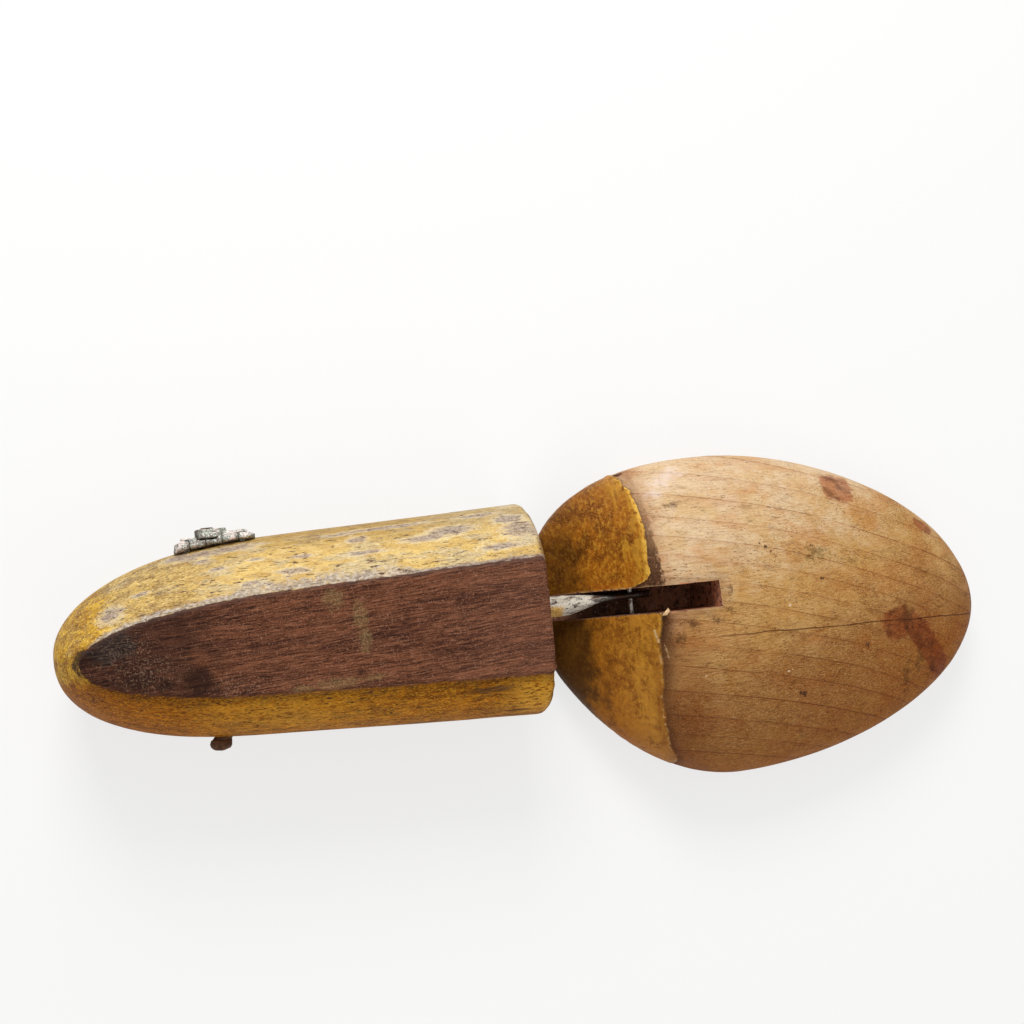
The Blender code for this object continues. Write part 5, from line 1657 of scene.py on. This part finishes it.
def make_strip(look):
    """The strip under the nut: swollen lobes along x with tight waists, its section a flat superellipse.

    Under the nut the crust reaches up to the nut's seat."""
    front = BOLT_STATION + STRIP_LENGTH * STRIP_FRONT_SHARE
    nut_seat = span_of("bolt_nut")[0] - SEAT_GAP
    share = np.linspace(0, 1, STRIP_STATIONS)[:, None]
    x = front - STRIP_LENGTH * share
    lobes = 0.35 + 0.65 * np.abs(np.sin(np.pi * share * STRIP_LOBES)) ** 0.5
    ends = np.maximum(0.45, falling(np.abs(share * 2 - 1), (9.0, 2.2)))
    half = STRIP_HEIGHT / 2 * (0.82 + 0.18 * lobes) * ends
    angle = np.linspace(0, 2 * np.pi, STRIP_COLUMNS)[None, :]
    c, s = np.cos(angle), np.sin(angle)
    z = BOLT_HEIGHT + half * np.sign(s) * np.abs(s) ** 0.7
    wood = heel_shift(np.minimum(z, BOLT_HEIGHT)) + heel_side(x + 0 * z, np.minimum(z, BOLT_HEIGHT))
    outward = 0.5 + 0.5 * np.sign(c) * np.abs(c) ** 0.6
    crown = 1 - 0.75 * np.abs(s) ** 2.5
    swollen = STRIP_THICKNESS + (crust_height(x) * (0.7 + 0.3 * lobes) - STRIP_THICKNESS) * crown
    under_nut = eased(np.abs(x - BOLT_STATION), NUT_ACROSS_FLATS * 0.46, NUT_ACROSS_FLATS * 0.36)
    packed = np.maximum(STRIP_THICKNESS, nut_seat - wood - SEAT_GAP)
    thick = swollen + (packed - swollen) * under_nut
    mesh = closed_tube("crusted_strip", np.stack([x + 0 * z, wood + SEAT_GAP + outward * thick, z], axis=-1))
    piece = new_piece("crusted_strip", mesh, "heel", ["bolt_strip"])
    cutters = [bore("strip_hole", BOLT_RADIUS, BOLT_PLACE, 0, HEEL_WIDTH)]
    for name in TACK_NAMES:
        place = (span_of(name)[2], 0, BOLT_HEIGHT)
        cutters.append(bore(name + "_hole", TACK_RADIUS, place, 0, HEEL_WIDTH, 20))
    carve(piece, cutters)

    def relief(points):
        wall = heel_shift(points[:, 2]) + heel_side(points[:, 0], points[:, 2])
        free = eased(points[:, 1] - wall, 0.6 * MM, 1.4 * MM)
        free *= eased(nut_seat - points[:, 1], -2 * MM, 1 * MM)
        return (cloud(points / MM, 2.5, 73, 3) * 0.46 + cloud(points / MM, 0.8, 77, 2) * 0.12) * MM * free

    raise_relief(piece.data, relief)
    points = points_of(piece.data) - ORIGIN
    along = (front - points[:, 0]) / STRIP_LENGTH
    waist = 1 - np.abs(np.sin(np.pi * along * STRIP_LOBES)) ** 0.38
    # The waists between the lobes are darker, and the strip round the nut gets painted shade.
    gap = eased(np.abs(points[:, 0] - BOLT_STATION), 3.8 * MM, 2.8 * MM) * 0.45
    write_fields(piece.data, {"hollow": np.clip(np.maximum(waist * 1.1, gap), 0, 1)})
    dress(piece, [crusted_steel(look)])


def make_tacks(look):
    """The two tacks: a low dome over a pointed shank, each a turned bar with a crusted head."""
    for name, piece_name in zip(TACK_NAMES, ("front_tack", "rear_tack")):
        low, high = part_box(name)
        head = (high.x - low.x) / 2
        start, end, middle = span_of(name)
        seat = end - TACK_HEAD_HEIGHT
        lift = crust_height(middle) - STRIP_THICKNESS - 0.5 * MM
        angle = np.linspace(0, np.pi / 2 - 0.08, 12)
        dome = list(zip(seat + lift + 0.8 * MM * np.sin(angle), head * 0.92 * np.cos(angle) ** 0.7))
        shank = [(start, TACK_RADIUS * 0.1), (start + 3 * MM, TACK_RADIUS), (seat + lift, TACK_RADIUS)]
        mesh = turned_mesh(piece_name, [*shank, *dome], 32, (middle, 0, BOLT_HEIGHT))

        def relief(points):
            return eased(points[:, 1], seat, seat + 0.4 * MM) * cloud(points / MM, 1.0, 79, 2) * 0.1 * MM

        raise_relief(mesh, relief)
        piece = new_piece(piece_name, mesh, "heel", [name])
        dress(piece, [crusted_steel(look)])


# Stage


def feed_output(tree, output, plain, seen, share=None):
    """Feeds an output with a plain shader, and with another one, or a share of it, where the camera looks.

    A shader is its kind and the values of its inputs."""
    nodes, links = tree.nodes, tree.links
    nodes.clear()
    mixed, result = nodes.new("ShaderNodeMixShader"), nodes.new(output)
    looked_at = nodes.new("ShaderNodeLightPath").outputs["Is Camera Ray"]
    if share is not None:
        part = nodes.new("ShaderNodeMath")
        part.operation = "MULTIPLY"
        part.inputs[1].default_value = share
        links.new(looked_at, part.inputs[0])
        looked_at = part.outputs[0]
    links.new(looked_at, mixed.inputs[0])
    for inlet, (kind, inputs) in enumerate((plain, seen), start=1):
        shader = nodes.new(kind)
        for name, value in inputs.items():
            shader.inputs[name].default_value = value
        links.new(shader.outputs[0], mixed.inputs[inlet])
    links.new(mixed.outputs[0], result.inputs[0])


def make_stage(look):
    """A pale floor and soft studio light, with the camera where the photograph was taken from."""
    white = {"Color": (1, 1, 1, 1), "Strength": 1.0}
    world = bpy.data.worlds.new("pale_studio")
    world.use_nodes = True
    sky = {"Color": (*look.sky_colour, 1), "Strength": look.sky_strength}
    background = "ShaderNodeBackground"
    feed_output(world.node_tree, "ShaderNodeOutputWorld", (background, sky), (background, white))
    bpy.context.scene.world = world

    material = bpy.data.materials.new("pale_floor")
    material.use_nodes = True
    matt = ("ShaderNodeBsdfDiffuse", {"Color": (*look.floor_colour, 1)})
    glow = ("ShaderNodeEmission", white)
    feed_output(material.node_tree, "ShaderNodeOutputMaterial", matt, glow, look.floor_whiteness)
    floor_mesh = mesh_of("studio_floor", box_grids((-1.6, -1.6, -0.02), (1.6, 1.6, 0.0), 0.8))
    floor_mesh.materials.append(material)
    floor = add_object("studio_floor", floor_mesh)

    for name, place, size, power, colour in (
        ("key_light", (-0.1, 0.62, 0.56), 0.34, look.key_power, look.key_colour),
        ("fill_light", (0.3, -0.7, 0.8), 0.6, look.fill_power, (1.0, 0.98, 0.95)),
    ):
        lamp = bpy.data.lights.new(name, "AREA")
        lamp.energy = power
        lamp.size = size
        lamp.color = colour
        turn = Vector(place).to_track_quat("Z", "Y").to_matrix().to_4x4()
        add_object(name, lamp).matrix_world = Matrix.Translation(place) @ turn

    camera = bpy.data.cameras.new("photograph_camera")
    camera.lens = CAMERA_LENS
    camera.sensor_width = CAMERA_SENSOR
    camera.clip_start = 0.01
    holder = add_object("photograph_camera", camera)
    holder.matrix_world = Matrix.Translation(CAMERA_PLACE) @ Matrix(CAMERA_AXES).to_4x4()
    bpy.context.scene.camera = holder
    bpy.context.scene.view_settings.view_transform = "Standard"


# The add-on


def colour_property(name, description, default):
    """A colour that the sidebar shows."""
    limits = {"min": 0, "max": 1, "subtype": "COLOR"}
    return FloatVectorProperty(name=name, description=description, default=default, **limits)


def number_property(name, description, default, low=0, **settings):
    """A number that the sidebar shows, with its lowest value."""
    return FloatProperty(name=name, description=description, default=default, min=low, **settings)


def length_property(name, description, default):
    """A length in metres that the sidebar shows."""
    return number_property(name, description, default, unit="LENGTH", precision=5)


class ForepartLook(PropertyGroup):
    ring_spacing: number_property("Ring spacing", "Mean distance of the growth lines, in mm", 7.0, 1)
    ridge_rounding: length_property("Ridge rounding", "Softness of the worn ridge", 0.0003)
    lip_rounding: length_property("Lip rounding", "Rounding of the rear lip", 0.0006)
    hand_waves: length_property("Hand waves", "Depth of the slow waves of the shaping", 0.0001)
    paint_thickness: length_property("Paint thickness", "Thickness of the paint on the slope", 0.00014)
    paint_bead: length_property("Paint bead", "Height of the thick edge of the paint", 0.00034)
    splinter_width: length_property("Splinter width", "Width of the splinter at its root", 0.0026)
    splinter_reach: length_property("Splinter reach", "How far its point stands off its root", 0.002)
    # Pale, ochre and deep wood follow one gradient of patina and painted shade: pale on the lit outer side,
    # deep on the shaded inner side, the toe and the low sides.
    wood_pale: colour_property("Pale wood", "Wood where it is cleanest", tint(223, 195, 158))
    wood_ochre: colour_property("Ochre wood", "Wood under a thin patina", tint(198, 155, 94))
    wood_deep: colour_property("Deep wood", "Wood under the darkest patina", tint(158, 108, 52))
    wood_rosy: colour_property("Rosy tone", "Clouds of pink in the wood", tint(238, 214, 204))
    wood_yellow: colour_property("Yellow tone", "Clouds of yellow in the wood", tint(242, 222, 168))
    band_dark: colour_property("Worn band, dark", "Band along the ridge, near the slot", tint(90, 55, 34))
    band_light: colour_property("Worn band, light", "The same band, far from the slot", tint(138, 92, 54))
    paint_umber: colour_property("Umber", "Dark tone of the slope's paint", tint(122, 67, 15))
    paint_ochre: colour_property("Ochre", "Middle tone of the slope's paint", tint(167, 100, 22))
    paint_bright: colour_property("Bright ochre", "Light tone of the slope's paint", tint(200, 144, 48))
    slot_brown: colour_property("Slot brown", "Sawn wood inside the slot", tint(188, 124, 90))


class HeelLook(PropertyGroup):
    edge_rounding: length_property("Edge rounding", "Rounding of the worn edges", 0.0006)
    hand_waves: length_property("Hand waves", "Depth of the slow waves of the shaping", 0.00012)
    brown_dark: colour_property("Dark brown", "Bare top, dark grain", tint(84, 48, 34))
    brown_red: colour_property("Red brown", "Bare top, warm grain", tint(113, 68, 46))
    gold_dark: colour_property("Dark gold", "Shadowed tone of the inner side", tint(140, 79, 5))
    gold: colour_property("Gold", "Middle tone of the inner side", tint(180, 106, 5))
    gold_bright: colour_property("Bright gold", "Light tone of the inner side", tint(224, 144, 16))
    pale_ochre: colour_property("Pale ochre", "Darker paint of the outer side", tint(208, 171, 100))
    pale_yellow: colour_property("Pale yellow", "Lighter paint of the outer side", tint(228, 194, 116))
    slot_brown: colour_property("Slot brown", "Sawn wood inside the slot", tint(112, 72, 50))


class MetalLook(PropertyGroup):
    bent_head: length_property("Bent head", "How far the bolt's head is pushed to the nose", 0.0011)
    off_nut: length_property("Off nut", "How far the nut's outline stands off its hole", 0.0008)
    chalk: colour_property("Chalk", "Bloom on the link", tint(228, 220, 204))
    bright_wire: colour_property("Bright wire", "Rubbed toe pin", tint(214, 208, 200))
    rust_dark: colour_property("Dark rust", "Dark tone of the bolt", tint(43, 25, 11))
    rust_red: colour_property("Red rust", "Warm tone of the bolt", tint(92, 54, 22))
    crust: colour_property("Crust", "White crust of the strip, the nut and the tacks", tint(252, 244, 238))


class StageLook(PropertyGroup):
    sky_strength: number_property("Sky strength", "Soft light from all round", 0.5)
    sky_colour: colour_property("Sky colour", "Colour of the soft light", (1.0, 1.0, 1.0))
    key_power: number_property("Key power", "Soft key light, in watts", 4.8)
    key_colour: colour_property("Key colour", "Colour of the key light", (1.0, 0.985, 0.96))
    fill_power: number_property("Fill power", "Soft fill light, in watts", 1.6)
    floor_colour: colour_property("Floor colour", "Pale studio floor", (0.86, 0.86, 0.86))
    floor_whiteness: number_property("Floor whiteness", "Share of white that the camera sees", 0.7, max=1)


class SHOETREE_OT_forepart(Operator):
    """Shapes and finishes the slotted forepart and the splinter on its slot"""

    bl_idname = "shoetree.forepart"
    bl_label = "Forepart"

    def execute(self, context):
        make_forepart(context.scene.forepart_look)
        make_splinter(context.scene.forepart_look)
        return {"FINISHED"}


class SHOETREE_OT_toe_pin(Operator):
    """Turns the bright toe pin"""

    bl_idname = "shoetree.toe_pin"
    bl_label = "Toe pin"

    def execute(self, context):
        make_toe_pin(context.scene.metal_look)
        return {"FINISHED"}


class SHOETREE_OT_link(Operator):
    """Shapes the hammered link with its blade and its eye"""

    bl_idname = "shoetree.link"
    bl_label = "Link"

    def execute(self, context):
        make_link(context.scene.metal_look)
        return {"FINISHED"}


class SHOETREE_OT_heel(Operator):
    """Shapes and finishes the painted heel block"""

    bl_idname = "shoetree.heel"
    bl_label = "Heel block"

    def execute(self, context):
        make_heel(context.scene.heel_look)
        return {"FINISHED"}


class SHOETREE_OT_fastenings(Operator):
    """Makes the heel bolt, its nut and the two tacks"""

    bl_idname = "shoetree.fastenings"
    bl_label = "Bolt, nut and tacks"

    def execute(self, context):
        make_bolt(context.scene.metal_look)
        make_nut(context.scene.metal_look)
        make_tacks(context.scene.metal_look)
        return {"FINISHED"}


class SHOETREE_OT_strip(Operator):
    """Makes the crusted strip under the nut"""

    bl_idname = "shoetree.strip"
    bl_label = "Strip"

    def execute(self, context):
        make_strip(context.scene.metal_look)
        return {"FINISHED"}


class SHOETREE_OT_stage(Operator):
    """Sets the pale floor, the soft light and the camera"""

    bl_idname = "shoetree.stage"
    bl_label = "Stage"

    def execute(self, context):
        make_stage(context.scene.stage_look)
        return {"FINISHED"}


class SHOETREE_PT_sidebar(Panel):
    """Lists the pieces of the shoe tree and their sizes and colours"""

    bl_label = "Shoe tree"
    bl_idname = "SHOETREE_PT_sidebar"
    bl_space_type = "VIEW_3D"
    bl_region_type = "UI"
    bl_category = "Shoe tree"

    def draw(self, context):
        for operator in OPERATORS:
            self.layout.operator(operator.bl_idname)
        for name in LOOKS:
            look = getattr(context.scene, name)
            box = self.layout.box()
            for key in look.__annotations__:
                box.prop(look, key)


LOOKS = {
    "forepart_look": ForepartLook,
    "heel_look": HeelLook,
    "metal_look": MetalLook,
    "stage_look": StageLook,
}
OPERATORS = (
    SHOETREE_OT_forepart,
    SHOETREE_OT_toe_pin,
    SHOETREE_OT_link,
    SHOETREE_OT_heel,
    SHOETREE_OT_strip,
    SHOETREE_OT_fastenings,
    SHOETREE_OT_stage,
)
CLASSES = (*LOOKS.values(), *OPERATORS, SHOETREE_PT_sidebar)


def register():
    for item in CLASSES:
        bpy.utils.register_class(item)
    for name, group in LOOKS.items():
        setattr(bpy.types.Scene, name, PointerProperty(type=group))


def unregister():
    for name in LOOKS:
        delattr(bpy.types.Scene, name)
    for item in reversed(CLASSES):
        bpy.utils.unregister_class(item)


def main():
    register()
    bpy.ops.shoetree.forepart()
    bpy.ops.shoetree.toe_pin()
    bpy.ops.shoetree.link()
    bpy.ops.shoetree.heel()
    bpy.ops.shoetree.strip()
    bpy.ops.shoetree.fastenings()
    bpy.ops.shoetree.stage()


if __name__ == "__main__":
    main()
